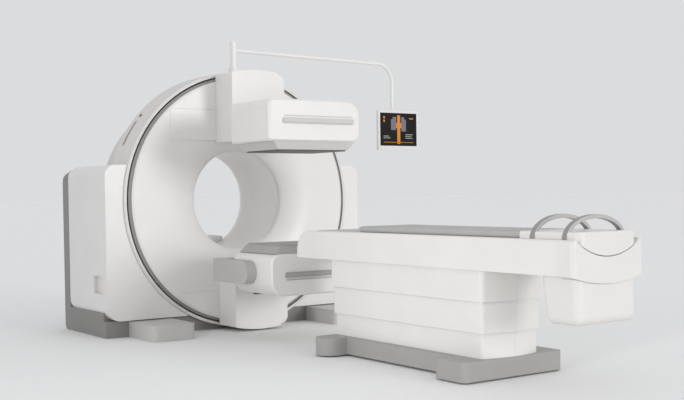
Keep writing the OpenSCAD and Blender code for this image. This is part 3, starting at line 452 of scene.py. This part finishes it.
@dataclass(frozen=True)
class Dress:
    """What one carried-over CAD node wears.

    Attributes:
        finish: Finish all over the node.
        edge_mm: Radius of its rounded edges; nothing is rounded at 0.
        grid_mm: Squares of the even mesh that shades large blended corners; none at 0.
    """

    finish: Finish
    edge_mm: float = PLAIN_EDGE_MM
    grid_mm: float = 0.0

    def put_on(self, piece: bpy.types.Object) -> None:
        """Gives the node its finish and its edges.

        Args:
            piece: The CAD node's object.
        """
        give_finish(piece, self.finish)
        weld_corners(piece)
        if self.grid_mm > 0:
            even_mesh(piece, self.grid_mm * MM)
            return
        if self.edge_mm > 0:
            bevel = round_edges(piece, self.edge_mm * MM, EDGE_SEGMENTS, EDGE_ANGLE)
            bevel.use_clamp_overlap = True
            bevel.harden_normals = True
        normals = piece.modifiers.new("normals", "WEIGHTED_NORMAL")
        normals.keep_sharp = True
        normals.weight = 50


class SubAssembly:
    """A group of CAD nodes that are dressed together."""

    def dresses(self) -> dict[str, Dress]:
        """Says what each node of the group wears."""
        raise NotImplementedError

    def dress(self, nodes: dict[str, bpy.types.Object]) -> set[str]:
        """Dresses every node of the group.

        Args:
            nodes: The frame's nodes by name.

        Returns:
            The names of the group's nodes.
        """
        worn = self.dresses()
        for name, dress in worn.items():
            dress.put_on(nodes[name])
            LOG.info("node %s takes %s", name, dress.finish.name)
        return set(worn)


@dataclass
class Gantry(SubAssembly):
    """The fixed stand: plinth, feet, towers, drum, tunnel, and what carries and turns the ring.

    Attributes:
        foot_edge_mm: Edge of the cast outrigger feet.
        tower_edge_mm: Edge of the tower covers.
        rear_edge_mm: Edge of the rear cover.
        trim_edge_mm: Edge of the strip in the drum's slot.
        lens_edge_mm: Edge of the status lens.
    """

    foot_edge_mm: float = 7.0
    tower_edge_mm: float = 4.0
    rear_edge_mm: float = 8.0
    trim_edge_mm: float = 0.6
    lens_edge_mm: float = 0.8

    def dresses(self) -> dict[str, Dress]:
        """Says what each node of the stand wears.

        Returns:
            The dresses by node.
        """
        return {
            "plinth": Dress(GREY_PLINTH),
            "outrigger_feet": Dress(GREY_FOOT, self.foot_edge_mm),
            "left_tower_cover": Dress(WHITE_COVER, self.tower_edge_mm),
            "right_tower_cover": Dress(WHITE_COVER, self.tower_edge_mm),
            "rear_cover": Dress(GREY_BACK, self.rear_edge_mm),
            "drum_cover": Dress(PALE_DRUM),
            "drum_slot_trim": Dress(PALE_TRIM, self.trim_edge_mm),
            "status_lens": Dress(DARK_LENS, self.lens_edge_mm),
            "tunnel_liner": Dress(WHITE_TUNNEL),
            "stator_plate": Dress(ALUMINIUM),
            "bearing_outer_race": Dress(STEEL),
            "drive_motor": Dress(MOTOR_GREY),
            "boom_socket": Dress(WHITE_COVER),
        }


@dataclass
class Tomography(SubAssembly):
    """The x-ray tomography housing behind the drum, with its rotor and the tunnel's rear flare."""

    def dresses(self) -> dict[str, Dress]:
        """Says what each node of the tomography unit wears.

        Returns:
            The dresses by node.
        """
        return {
            "ct_housing": Dress(PALE_HOUSING),
            "tunnel_flare": Dress(WHITE_TUNNEL),
            "ct_rotor": Dress(ALUMINIUM),
            "xray_tube": Dress(MOTOR_GREY),
            "ct_detector": Dress(MOTOR_GREY),
        }


@dataclass
class Ring(SubAssembly):
    """The rotating ring that carries the detector heads, with its gear, pinion, race and guides.

    Attributes:
        flank_edge_mm: Edge of the flank panels.
        mount_edge_mm: Edge of the covers over the heads' mounts.
        ground_edge_mm: Edge of the gear, the pinion and the rails, which are left sharp.
    """

    flank_edge_mm: float = 1.5
    mount_edge_mm: float = 8.0
    ground_edge_mm: float = 0.0

    def dresses(self) -> dict[str, Dress]:
        """Says what each node of the ring wears.

        Returns:
            The dresses by node.
        """
        ground = Dress(STEEL, self.ground_edge_mm)
        return {
            "rotor_cover": Dress(WHITE_ROTOR),
            "rotor_rim": Dress(GREY_RIM),
            "rotor_frame": Dress(ALUMINIUM),
            "bearing_inner_race": Dress(STEEL),
            "flank_panels": Dress(WHITE_ROTOR, self.flank_edge_mm),
            "upper_mount_cover": Dress(WHITE_COVER, self.mount_edge_mm),
            "lower_mount_cover": Dress(WHITE_COVER, self.mount_edge_mm),
            "ring_gear": ground,
            "drive_pinion": ground,
            "guide_rails": ground,
        }


@dataclass
class DetectorHead(SubAssembly):
    """One detector head on its carriage.

    Attributes:
        side: Which of the two heads it is.
        collimator: Finish of the collimator block; the upper head's is painted lighter and the lower head's
            darker, as painted light and painted shade on one grey.
        touch_plate: Finish of the touch plate; the upper head's is painted dark for the shade under the head.
        bumper: Finish of the bumper bar; the lower head's is painted darker for the shade it lies in.
        carriage_edge_mm: Edge of the cast carriage.
        shell_edge_mm: Edge of the housing.
        plate_edge_mm: Edge of the touch plate.
        inner_edge_mm: Edge of the crystal and its tubes, which are left sharp.
    """

    side: Side
    collimator: Finish
    touch_plate: Finish
    bumper: Finish
    carriage_edge_mm: float = 8.0
    shell_edge_mm: float = 3.0
    plate_edge_mm: float = 1.5
    inner_edge_mm: float = 0.0

    def dresses(self) -> dict[str, Dress]:
        """Says what each node of the head wears.

        Returns:
            The dresses by node.
        """
        parts = {
            "carriage": Dress(ARM_PAINTED_SHADE, self.carriage_edge_mm),
            "head_shell": Dress(WHITE_HEAD, self.shell_edge_mm),
            "collimator": Dress(self.collimator),
            "touch_plate": Dress(self.touch_plate, self.plate_edge_mm),
            "bumper": Dress(self.bumper),
            "crystal": Dress(CRYSTAL, self.inner_edge_mm),
            "tube_array": Dress(TUBE_GLASS, self.inner_edge_mm),
        }
        return {f"{self.side.value}_{part}": dress for part, dress in parts.items()}


@dataclass
class Boom(SubAssembly):
    """The boom with the monitor.

    Attributes:
        tube_edge_mm: Edge of the boom's tube, which shows no sharp one.
        housing_edge_mm: Edge of the monitor's housing.
        screen_edge_mm: Edge of the screen, which is left sharp.
    """

    tube_edge_mm: float = 0.0
    housing_edge_mm: float = 3.0
    screen_edge_mm: float = 0.0

    def dresses(self) -> dict[str, Dress]:
        """Says what each node of the boom wears.

        Returns:
            The dresses by node.
        """
        return {
            "boom": Dress(WHITE_BOOM, self.tube_edge_mm),
            "monitor_yoke": Dress(WHITE_BOOM),
            "monitor_housing": Dress(MONITOR_SHELL, self.housing_edge_mm),
            "monitor_screen": Dress(SCREEN_BLACK, self.screen_edge_mm),
        }


@dataclass
class PatientTable(SubAssembly):
    """The lifting table under the pallet.

    Attributes:
        base_edge_mm: Edge of the cast base.
        frame_edge_mm: Edge of the frame.
        cap_edge_mm: Edge of the end cap.
        box_grid_mm: Squares of the control box's even mesh.
    """

    base_edge_mm: float = 6.0
    frame_edge_mm: float = 5.0
    cap_edge_mm: float = 4.0
    box_grid_mm: float = 3.0

    def dresses(self) -> dict[str, Dress]:
        """Says what each node of the table wears.

        Returns:
            The dresses by node.
        """
        return {
            "table_base": Dress(GREY_BASE, self.base_edge_mm),
            "table_feet": Dress(BLACK_FOOT),
            "column_lower_cover": Dress(WHITE_TABLE),
            "column_middle_cover": Dress(WHITE_TABLE),
            "column_upper_cover": Dress(WHITE_TABLE),
            "lift_tubes": Dress(STEEL),
            "lift_rods": Dress(CHROME),
            "table_frame": Dress(WHITE_TABLE, self.frame_edge_mm),
            "table_end_cap": Dress(WHITE_TABLE_SHADED, self.cap_edge_mm),
            "control_box": Dress(WHITE_TABLE_SHADED, grid_mm=self.box_grid_mm),
        }


@dataclass
class Pallet(SubAssembly):
    """The sliding pallet with its end piece and hoops, and the block that the mattress stands for.

    Attributes:
        pallet_edge_mm: Edge of the pallet.
        end_edge_mm: Edge of the end piece.
        hoop_edge_mm: Edge of the hoops.
    """

    pallet_edge_mm: float = 3.0
    end_edge_mm: float = 5.0
    hoop_edge_mm: float = 4.0

    def dresses(self) -> dict[str, Dress]:
        """Says what each node of the pallet wears.

        Returns:
            The dresses by node.
        """
        return {
            "pallet": Dress(GREY_PALLET, self.pallet_edge_mm),
            "pallet_end": Dress(WHITE_TABLE_SHADED, self.end_edge_mm),
            "mattress": Dress(GREY_MATTRESS),
            "hoops": Dress(HOOP_PAINTED_LIGHT, self.hoop_edge_mm),
        }


@dataclass
class Mattress:
    """The foam mattress on the pallet.

    Attributes:
        node: CAD node that it stands for.
        edge: Radius of the rounded edges before the cloth runs.
        edge_segments: Faces across a rounded edge.
        edge_angle: Least angle of an edge that is rounded.
        voxel: Grid of the remesh before the cloth runs.
        quality: Steps of the cloth in each frame.
        mass: Mass of the cover at each of its points.
        stretch: How stiffly the cover resists stretching.
        shear: How stiffly the cover resists shearing.
        bending: How stiffly the cover resists bending.
        pressure: Pressure inside the cover.
        frames: Frames that the cloth runs for.
        rise: How far the cover may swell.
    """

    node: str = "mattress"
    edge: float = 0.009
    edge_segments: int = 4
    edge_angle: float = math.radians(15)
    voxel: float = 0.0075
    quality: int = 4
    mass: float = 0.3
    stretch: float = 30.0
    shear: float = 15.0
    bending: float = 2.0
    pressure: float = 4.0
    frames: int = 20
    rise: float = 0.004

    def build(self, nodes: dict[str, bpy.types.Object]) -> bpy.types.Object:
        """Makes the mattress as a filled cover.

        Args:
            nodes: The frame's nodes by name.

        Returns:
            The mattress.
        """
        piece = nodes[self.node].copy()
        piece.data = nodes[self.node].data.copy()
        piece.name = "patient_mattress"
        piece.data.name = piece.name
        piece.modifiers.clear()
        piece.parent = None
        bpy.context.scene.collection.objects.link(piece)
        self._round(piece)
        self._inflate(piece)
        give_finish(piece, GREY_MATTRESS)
        for polygon in piece.data.polygons:
            polygon.use_smooth = True
        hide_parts(self.node)
        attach(piece, "pallet")
        LOG.info("piece %s", piece.name)
        return piece

    def _round(self, piece: bpy.types.Object) -> None:
        """Rounds the block's edges and gives it an even mesh.

        Args:
            piece: The copied block.
        """
        weld_corners(piece)
        round_edges(piece, self.edge, self.edge_segments, self.edge_angle)
        even_mesh(piece, self.voxel)
        apply_modifiers(piece)

    def _inflate(self, piece: bpy.types.Object) -> None:
        """Fills the cover with pressure and keeps what it comes to.

        Args:
            piece: The remeshed block.
        """
        rest = [vertex.co.copy() for vertex in piece.data.vertices]
        low = min(co.z for co in rest)
        cloth = piece.modifiers.new("cover", "CLOTH")
        settings = cloth.settings
        settings.quality = self.quality
        settings.mass = self.mass
        settings.tension_stiffness = self.stretch
        settings.compression_stiffness = self.stretch
        settings.shear_stiffness = self.shear
        settings.bending_stiffness = self.bending
        settings.use_pressure = True
        settings.uniform_pressure_force = self.pressure
        settings.effector_weights.gravity = 0.0
        cloth.point_cache.frame_start = 1
        cloth.point_cache.frame_end = self.frames
        scene = bpy.context.scene
        for frame in range(1, self.frames + 1):
            scene.frame_set(frame)
        shape = bpy.data.meshes.new_from_object(piece.evaluated_get(bpy.context.evaluated_depsgraph_get()))
        for vertex, start in zip(shape.vertices, rest):
            move = vertex.co - start
            if move.length > self.rise:
                move = move.normalized() * self.rise
            place = start + move
            place.z = max(place.z, low)
            vertex.co = place
        piece.modifiers.clear()
        piece.data = shape
        scene.frame_set(1)


@dataclass
class ScrewField:
    """Proud socket-head screws, repeated over a list of places by Geometry Nodes.

    Attributes:
        name: Name of the piece.
        places: Centre of each head's seat.
        turn: Rotation that takes +Z to the direction in which the heads look.
        body: CAD body that carries the screws.
        radius: Radius of a head.
        height: How far a head stands proud.
        socket_share: Radius of the socket's corners, as a share of the head's.
        head_sides: Faces round a head.
        socket_sides: Faces round its socket.
        finish: The heads' finish.
    """

    name: str
    places: Sequence[Vector]
    turn: tuple[float, float, float]
    body: str
    radius: float = 0.006
    height: float = 0.0018
    socket_share: float = 0.52
    head_sides: int = 32
    socket_sides: int = 6
    finish: Finish = STEEL

    def build(self) -> bpy.types.Object:
        """Makes the screws as one plain mesh.

        Returns:
            The screws.
        """

        def points(shape: bmesh.types.BMesh) -> None:
            """Sets one point at each screw's place."""
            for place in self.places:
                shape.verts.new(place)

        piece = new_piece(self.name, points, self.finish)
        modifier = piece.modifiers.new("repeat", "NODES")
        modifier.node_group = self._group()
        sizes = {"Radius": self.radius, "Height": self.height}
        for item in modifier.node_group.interface.items_tree:
            if item.item_type == "SOCKET" and item.in_out == "INPUT" and item.name in sizes:
                modifier[item.identifier] = sizes[item.name]
        apply_modifiers(piece)
        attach(piece, self.body)
        return piece

    def _group(self) -> bpy.types.NodeTree:
        """Builds the node group that sets a socket head on each point.

        Returns:
            The geometry node group.
        """
        tree = bpy.data.node_groups.new(self.name, "GeometryNodeTree")
        face = tree.interface
        face.new_socket("Geometry", in_out="INPUT", socket_type="NodeSocketGeometry")
        face.new_socket("Radius", in_out="INPUT", socket_type="NodeSocketFloat")
        face.new_socket("Height", in_out="INPUT", socket_type="NodeSocketFloat")
        face.new_socket("Geometry", in_out="OUTPUT", socket_type="NodeSocketGeometry")
        start = tree.nodes.new("NodeGroupInput")
        end = tree.nodes.new("NodeGroupOutput")
        repeat = tree.nodes.new("GeometryNodeInstanceOnPoints")
        repeat.inputs["Rotation"].default_value = self.turn
        tree.links.new(start.outputs["Geometry"], repeat.inputs["Points"])
        tree.links.new(self._head(tree, start), repeat.inputs["Instance"])
        real = tree.nodes.new("GeometryNodeRealizeInstances")
        tree.links.new(repeat.outputs["Instances"], real.inputs["Geometry"])
        paint = tree.nodes.new("GeometryNodeSetMaterial")
        paint.inputs["Material"].default_value = self.finish.material()
        tree.links.new(real.outputs["Geometry"], paint.inputs["Geometry"])
        tree.links.new(paint.outputs["Geometry"], end.inputs["Geometry"])
        return tree

    def _head(self, tree: bpy.types.NodeTree, start: bpy.types.Node) -> bpy.types.NodeSocket:
        """Adds the nodes that make one head, half of it sunk in the cover, with its socket.

        Args:
            tree: The geometry node group.
            start: The group's input node.

        Returns:
            Socket with the head's mesh.
        """
        depth = self._times(tree, start.outputs["Height"], 2.0)
        head = tree.nodes.new("GeometryNodeMeshCylinder")
        head.inputs["Vertices"].default_value = self.head_sides
        tree.links.new(start.outputs["Radius"], head.inputs["Radius"])
        tree.links.new(depth, head.inputs["Depth"])
        socket = tree.nodes.new("GeometryNodeMeshCylinder")
        socket.inputs["Vertices"].default_value = self.socket_sides
        tree.links.new(self._times(tree, start.outputs["Radius"], self.socket_share), socket.inputs["Radius"])
        tree.links.new(depth, socket.inputs["Depth"])
        offset = tree.nodes.new("ShaderNodeCombineXYZ")
        tree.links.new(start.outputs["Height"], offset.inputs["Z"])
        lift = tree.nodes.new("GeometryNodeTransform")
        tree.links.new(socket.outputs["Mesh"], lift.inputs["Geometry"])
        tree.links.new(offset.outputs["Vector"], lift.inputs["Translation"])
        cut = tree.nodes.new("GeometryNodeMeshBoolean")
        cut.operation = "DIFFERENCE"
        tree.links.new(head.outputs["Mesh"], cut.inputs["Mesh 1"])
        tree.links.new(lift.outputs["Geometry"], cut.inputs["Mesh 2"])
        return cut.outputs["Mesh"]

    def _times(self, tree: bpy.types.NodeTree, value: bpy.types.NodeSocket,
               factor: float) -> bpy.types.NodeSocket:
        """Adds a node that multiplies a value.

        Args:
            tree: The geometry node group.
            value: Socket with the value.
            factor: What it is multiplied by.

        Returns:
            Socket with the product.
        """
        product = tree.nodes.new("ShaderNodeMath")
        product.operation = "MULTIPLY"
        product.inputs[1].default_value = factor
        tree.links.new(value, product.inputs[0])
        return product.outputs[0]


@dataclass
class RearScrews:
    """The screws round the edge of the rear cover.

    Attributes:
        inset: Distance of the two columns from the cover's sides.
        rows: Screws in each column.
        lowest: Height of the columns' lowest screws over the cover's foot.
        highest: Distance of the columns' highest screws from the cover's top.
        columns: Screws in the row along the foot.
        half_width: Distance of the row's outer screws from the middle.
        foot: Height of the row over the cover's foot.
    """

    inset: float = 0.045
    rows: int = 6
    lowest: float = 0.12
    highest: float = 0.18
    columns: int = 4
    half_width: float = 0.45
    foot: float = 0.06

    def build(self) -> bpy.types.Object:
        """Makes the screws.

        Returns:
            The screws.
        """
        low, high = (Vector(corner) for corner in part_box("rear_cover"))
        climb = (high.z - low.z - self.lowest - self.highest) / (self.rows - 1)
        step = 2 * self.half_width / (self.columns - 1)
        places = []
        for side in (low.x + self.inset, high.x - self.inset):
            for row in range(self.rows):
                places.append(Vector((side, high.y, low.z + self.lowest + climb * row)))
        for column in range(self.columns):
            places.append(Vector((-self.half_width + step * column, high.y, low.z + self.foot)))
        backwards = (-math.pi / 2, 0.0, 0.0)
        return ScrewField("rear_cover_screws", places, backwards, "gantry").build()


# An area of the monitor's picture: left, bottom, right and top, as shares of the picture.
Area = tuple[float, float, float, float]


@dataclass(frozen=True)
class LitColour:
    """The areas of the monitor's picture that have one colour.

    Attributes:
        name: Name of the piece.
        colour: Colour of the light, six hexadecimal digits.
        areas: The areas.
    """

    name: str
    colour: str
    areas: tuple[Area, ...]


TRUNK = LitColour("screen_trunk", "c07c38", (
    (0.46, 0.02, 0.55, 0.98), (0.43, 0.55, 0.46, 0.72), (0.55, 0.55, 0.58, 0.72),
))
TISSUE = LitColour("screen_tissue", "6f6a70", (
    (0.28, 0.48, 0.43, 0.84), (0.33, 0.84, 0.43, 0.92), (0.58, 0.44, 0.72, 0.84), (0.58, 0.84, 0.67, 0.92),
))
MARKS = LitColour("screen_marks", "c78238", (
    (0.06, 0.86, 0.10, 0.94), (0.06, 0.74, 0.10, 0.82), (0.82, 0.86, 0.94, 0.89), (0.06, 0.06, 0.94, 0.075),
))
LINES = LitColour("screen_text", "8d9094", (
    (0.70, 0.20, 0.92, 0.225), (0.70, 0.26, 0.88, 0.285), (0.70, 0.32, 0.92, 0.345),
    (0.06, 0.20, 0.26, 0.225), (0.06, 0.26, 0.22, 0.285),
))


@dataclass
class ScreenPicture:
    """The lit picture on the monitor: a generic scan view of plain areas.

    Attributes:
        node: CAD node of the screen.
        margin: Distance of the picture from the screen's edge.
        thickness: Thickness of the lit areas.
        glow: Strength of their light.
        colours: The picture's areas by colour.
    """

    node: str = "monitor_screen"
    margin: float = 0.012
    thickness: float = 0.0004
    glow: float = 0.25
    colours: tuple[LitColour, ...] = (TRUNK, TISSUE, MARKS, LINES)

    def build(self) -> None:
        """Makes the picture's lit areas as one piece per colour."""
        low, high = (Vector(corner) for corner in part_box(self.node))
        across, up = high.x - low.x - 2 * self.margin, high.z - low.z - 2 * self.margin
        corner = Vector((low.x + self.margin, low.y, low.z + self.margin))
        for lit in self.colours:
            self._light(lit, corner, across, up)

    def _light(self, lit: LitColour, corner: Vector, across: float, up: float) -> None:
        """Makes one colour's areas.

        Args:
            lit: The colour and its areas.
            corner: Lower left corner of the picture.
            across: Width of the picture.
            up: Height of the picture.
        """

        def plates(shape: bmesh.types.BMesh) -> None:
            """Sets one thin plate on each area."""
            for left, bottom, right, top in lit.areas:
                size = Vector(((right - left) * across, self.thickness, (top - bottom) * up))
                middle = Vector(((left + right) / 2 * across, -self.thickness / 2, (bottom + top) / 2 * up))
                box = Matrix.Translation(corner + middle) @ Matrix.Diagonal((*size, 1.0))
                bmesh.ops.create_cube(shape, size=1.0, matrix=box)

        finish = Finish(lit.name, Look.SCREEN, lit.colour, 0.35, sheen=0.08)
        piece = new_piece(lit.name, plates, finish)
        shader = finish.material().node_tree.nodes["Principled BSDF"]
        shader.inputs["Emission Color"].default_value = rgba(lit.colour)
        shader.inputs["Emission Strength"].default_value = self.glow
        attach(piece, "monitor")


def hang_light(name: str, data: bpy.types.Light, place: Vector, target: Vector) -> None:
    """Hangs a light at a place and points it at a target.

    Args:
        name: Name of the light.
        data: The light.
        place: Where it hangs.
        target: What it points at.
    """
    light = bpy.data.objects.new(name, data)
    light.location = place
    light.rotation_mode = "QUATERNION"
    light.rotation_quaternion = (target - place).to_track_quat("-Z", "Y")
    bpy.context.scene.collection.objects.link(light)


@dataclass(frozen=True)
class Sun:
    """The broad light from the front, equally strong all over the object.

    Attributes:
        place: A point on the line along which the light comes to the origin.
        strength: Strength of the light.
        angle_deg: Angle that its disc fills.
    """

    place: tuple[float, float, float] = (11.0, -28.0, 5.0)
    strength: float = 0.88
    angle_deg: float = 17.0

    def build(self) -> None:
        """Makes the light."""
        data = bpy.data.lights.new("key", "SUN")
        data.energy = self.strength
        data.angle = math.radians(self.angle_deg)
        hang_light("key", data, Vector(self.place), Vector((0.0, 0.0, 0.0)))


@dataclass(frozen=True)
class Lamp:
    """The soft square lamp that lights the table's side.

    Attributes:
        place: Where it hangs.
        target: What it points at.
        side: Side of its square face.
        power: Power in watts.
        spread_deg: Angle over which it shines.
    """

    place: tuple[float, float, float] = (-9.6, -5.2, 2.2)
    target: tuple[float, float, float] = (0.0, -2.4, 0.5)
    side: float = 1.6
    power: float = 12.0
    spread_deg: float = 36.0

    def build(self) -> None:
        """Makes the lamp."""
        data = bpy.data.lights.new("table_side", "AREA")
        data.spread = math.radians(self.spread_deg)
        data.shape = "SQUARE"
        data.size = self.side
        data.energy = self.power
        hang_light("table_side", data, Vector(self.place), Vector(self.target))


@dataclass(frozen=True)
class Camera:
    """The camera, found from the ring's ellipse, the table's edges and the towers.

    Attributes:
        place: Where it stands.
        yaw_deg: Turn to the right of +Y.
        pitch_deg: Tilt downwards.
        roll_deg: Turn about the line of sight.
        lens_mm: Focal length.
        sensor_mm: Width of the sensor.
        shift_px: How far the picture is shifted upwards.
        picture_px: Width of the picture.
        reach: Farthest distance that it shows.
    """

    place: tuple[float, float, float] = (-3.840, -6.646, 0.953)
    yaw_deg: float = 35.255
    pitch_deg: float = 1.740
    roll_deg: float = -0.781
    lens_mm: float = 56.38
    sensor_mm: float = 36.0
    shift_px: float = 25.0
    picture_px: float = 684.0
    reach: float = 600.0

    def build(self) -> None:
        """Sets the camera and makes it the scene's own."""
        yaw, pitch, roll = (math.radians(a) for a in (self.yaw_deg, self.pitch_deg, self.roll_deg))
        forward = Vector((math.sin(yaw) * math.cos(pitch), math.cos(yaw) * math.cos(pitch), -math.sin(pitch)))
        level = Vector((math.cos(yaw), -math.sin(yaw), 0.0))
        upward = level.cross(forward)
        right = level * math.cos(roll) + upward * math.sin(roll)
        top = upward * math.cos(roll) - level * math.sin(roll)
        turn = Matrix((right, top, -forward)).transposed()
        data = bpy.data.cameras.new("camera")
        data.lens = self.lens_mm
        data.sensor_width = self.sensor_mm
        data.shift_y = self.shift_px / self.picture_px
        data.clip_end = self.reach
        camera = bpy.data.objects.new("camera", data)
        camera.matrix_world = Matrix.Translation(Vector(self.place)) @ turn.to_4x4()
        bpy.context.scene.collection.objects.link(camera)
        bpy.context.scene.camera = camera


@dataclass
class Studio:
    """Floor, sky, lights and camera.

    Attributes:
        floor_size: Side of the floor.
        floor_drop: How far the floor lies under the feet.
        floor_finish: Finish of the floor.
        sky_colour: Colour of the light from all round.
        sky_strength: Strength of the light from all round.
        backdrop: Colour seen behind the object.
        key: The broad light from the front.
        table_side: The soft lamp beside the table.
        camera: The camera.
    """

    floor_size: float = 400.0
    floor_drop: float = 0.0005
    floor_finish: Finish = Finish("studio_floor", Look.PAINT, "f0f0ef", 0.75, tone=0.0)
    sky_colour: tuple[float, float, float] = (0.97, 0.98, 1.0)
    sky_strength: float = 0.80
    backdrop: tuple[float, float, float] = (0.708, 0.716, 0.727)
    key: Sun = field(default_factory=Sun)
    table_side: Lamp = field(default_factory=Lamp)
    camera: Camera = field(default_factory=Camera)

    def build(self) -> None:
        """Makes the studio round the object."""
        self._floor()
        self._sky()
        self.key.build()
        self.table_side.build()
        self.camera.build()

    def _floor(self) -> None:
        """Makes the plain pale floor."""
        half = self.floor_size / 2

        def corners(shape: bmesh.types.BMesh) -> None:
            """Sets the floor's one face."""
            points = [(-half, -half), (half, -half), (half, half), (-half, half)]
            shape.faces.new([shape.verts.new((x, y, -self.floor_drop)) for x, y in points])

        floor = new_piece("studio_floor", corners, self.floor_finish)

    def _sky(self) -> None:
        """Lights the scene evenly, and shows a pale backdrop behind it."""
        world = bpy.data.worlds.new("studio")
        bpy.context.scene.world = world
        world.use_nodes = True
        tree = world.node_tree
        tree.nodes.clear()
        light = tree.nodes.new("ShaderNodeBackground")
        light.inputs["Color"].default_value = (*self.sky_colour, 1.0)
        light.inputs["Strength"].default_value = self.sky_strength
        shown = tree.nodes.new("ShaderNodeBackground")
        shown.inputs["Color"].default_value = (*self.backdrop, 1.0)
        shown.inputs["Strength"].default_value = 1.0
        mix = tree.nodes.new("ShaderNodeMixShader")
        tree.links.new(self._seen(tree), mix.inputs["Fac"])
        tree.links.new(light.outputs[0], mix.inputs[1])
        tree.links.new(shown.outputs[0], mix.inputs[2])
        output = tree.nodes.new("ShaderNodeOutputWorld")
        tree.links.new(mix.outputs[0], output.inputs["Surface"])

    def _seen(self, tree: bpy.types.NodeTree) -> bpy.types.NodeSocket:
        """Adds the nodes that tell a ray that is seen, mirrored or not, from one that lights.

        Args:
            tree: The world's node tree.

        Returns:
            Socket with 1 for a ray that is seen and 0 for the others.
        """
        ray = tree.nodes.new("ShaderNodeLightPath")
        seen = ray.outputs["Is Camera Ray"]
        for kind in ("Is Glossy Ray", "Is Transmission Ray"):
            either = tree.nodes.new("ShaderNodeMath")
            either.operation = "MAXIMUM"
            tree.links.new(seen, either.inputs[0])
            tree.links.new(ray.outputs[kind], either.inputs[1])
            seen = either.outputs[0]
        return seen


def dress_frame(nodes: dict[str, bpy.types.Object]) -> None:
    """Dresses every CAD node, one sub-assembly after another.

    Args:
        nodes: The frame's nodes by name.
    """
    groups: tuple[SubAssembly, ...] = (
        Gantry(),
        Tomography(),
        Ring(),
        # Painted light and shade: the upper head takes the lighter collimator copy, the lower head the darker
        # one.
        # Painted shade: the upper head's touch plate is dark where the shade falls under it.
        DetectorHead(Side.UPPER, COLLIMATOR_LIT, TOUCH_PLATE_SHADED, GREY_BUMPER),
        # Painted shade: the lower head's collimator and bumper are darker copies, for the shade it lies in.
        DetectorHead(Side.LOWER, COLLIMATOR_SHADED, GREY_TOUCH, BUMPER_SHADED),
        Boom(),
        PatientTable(),
        Pallet(),
    )
    dressed: set[str] = set()
    for group in groups:
        dressed |= group.dress(nodes)
    if dressed != set(nodes):
        raise ValueError(f"nodes without a dress: {sorted(set(nodes) - dressed)}")


def main() -> None:
    """Builds the whole scene round the frame."""
    logging.basicConfig(level=logging.INFO, format="%(name)s: %(message)s")
    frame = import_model()
    nodes = frame["nodes"]
    dress_frame(nodes)
    Mattress().build(nodes)
    ScreenPicture().build()
    RearScrews().build()
    Studio().build()
    bpy.context.scene.view_settings.view_transform = "Standard"


if __name__ == "__main__":
    main()
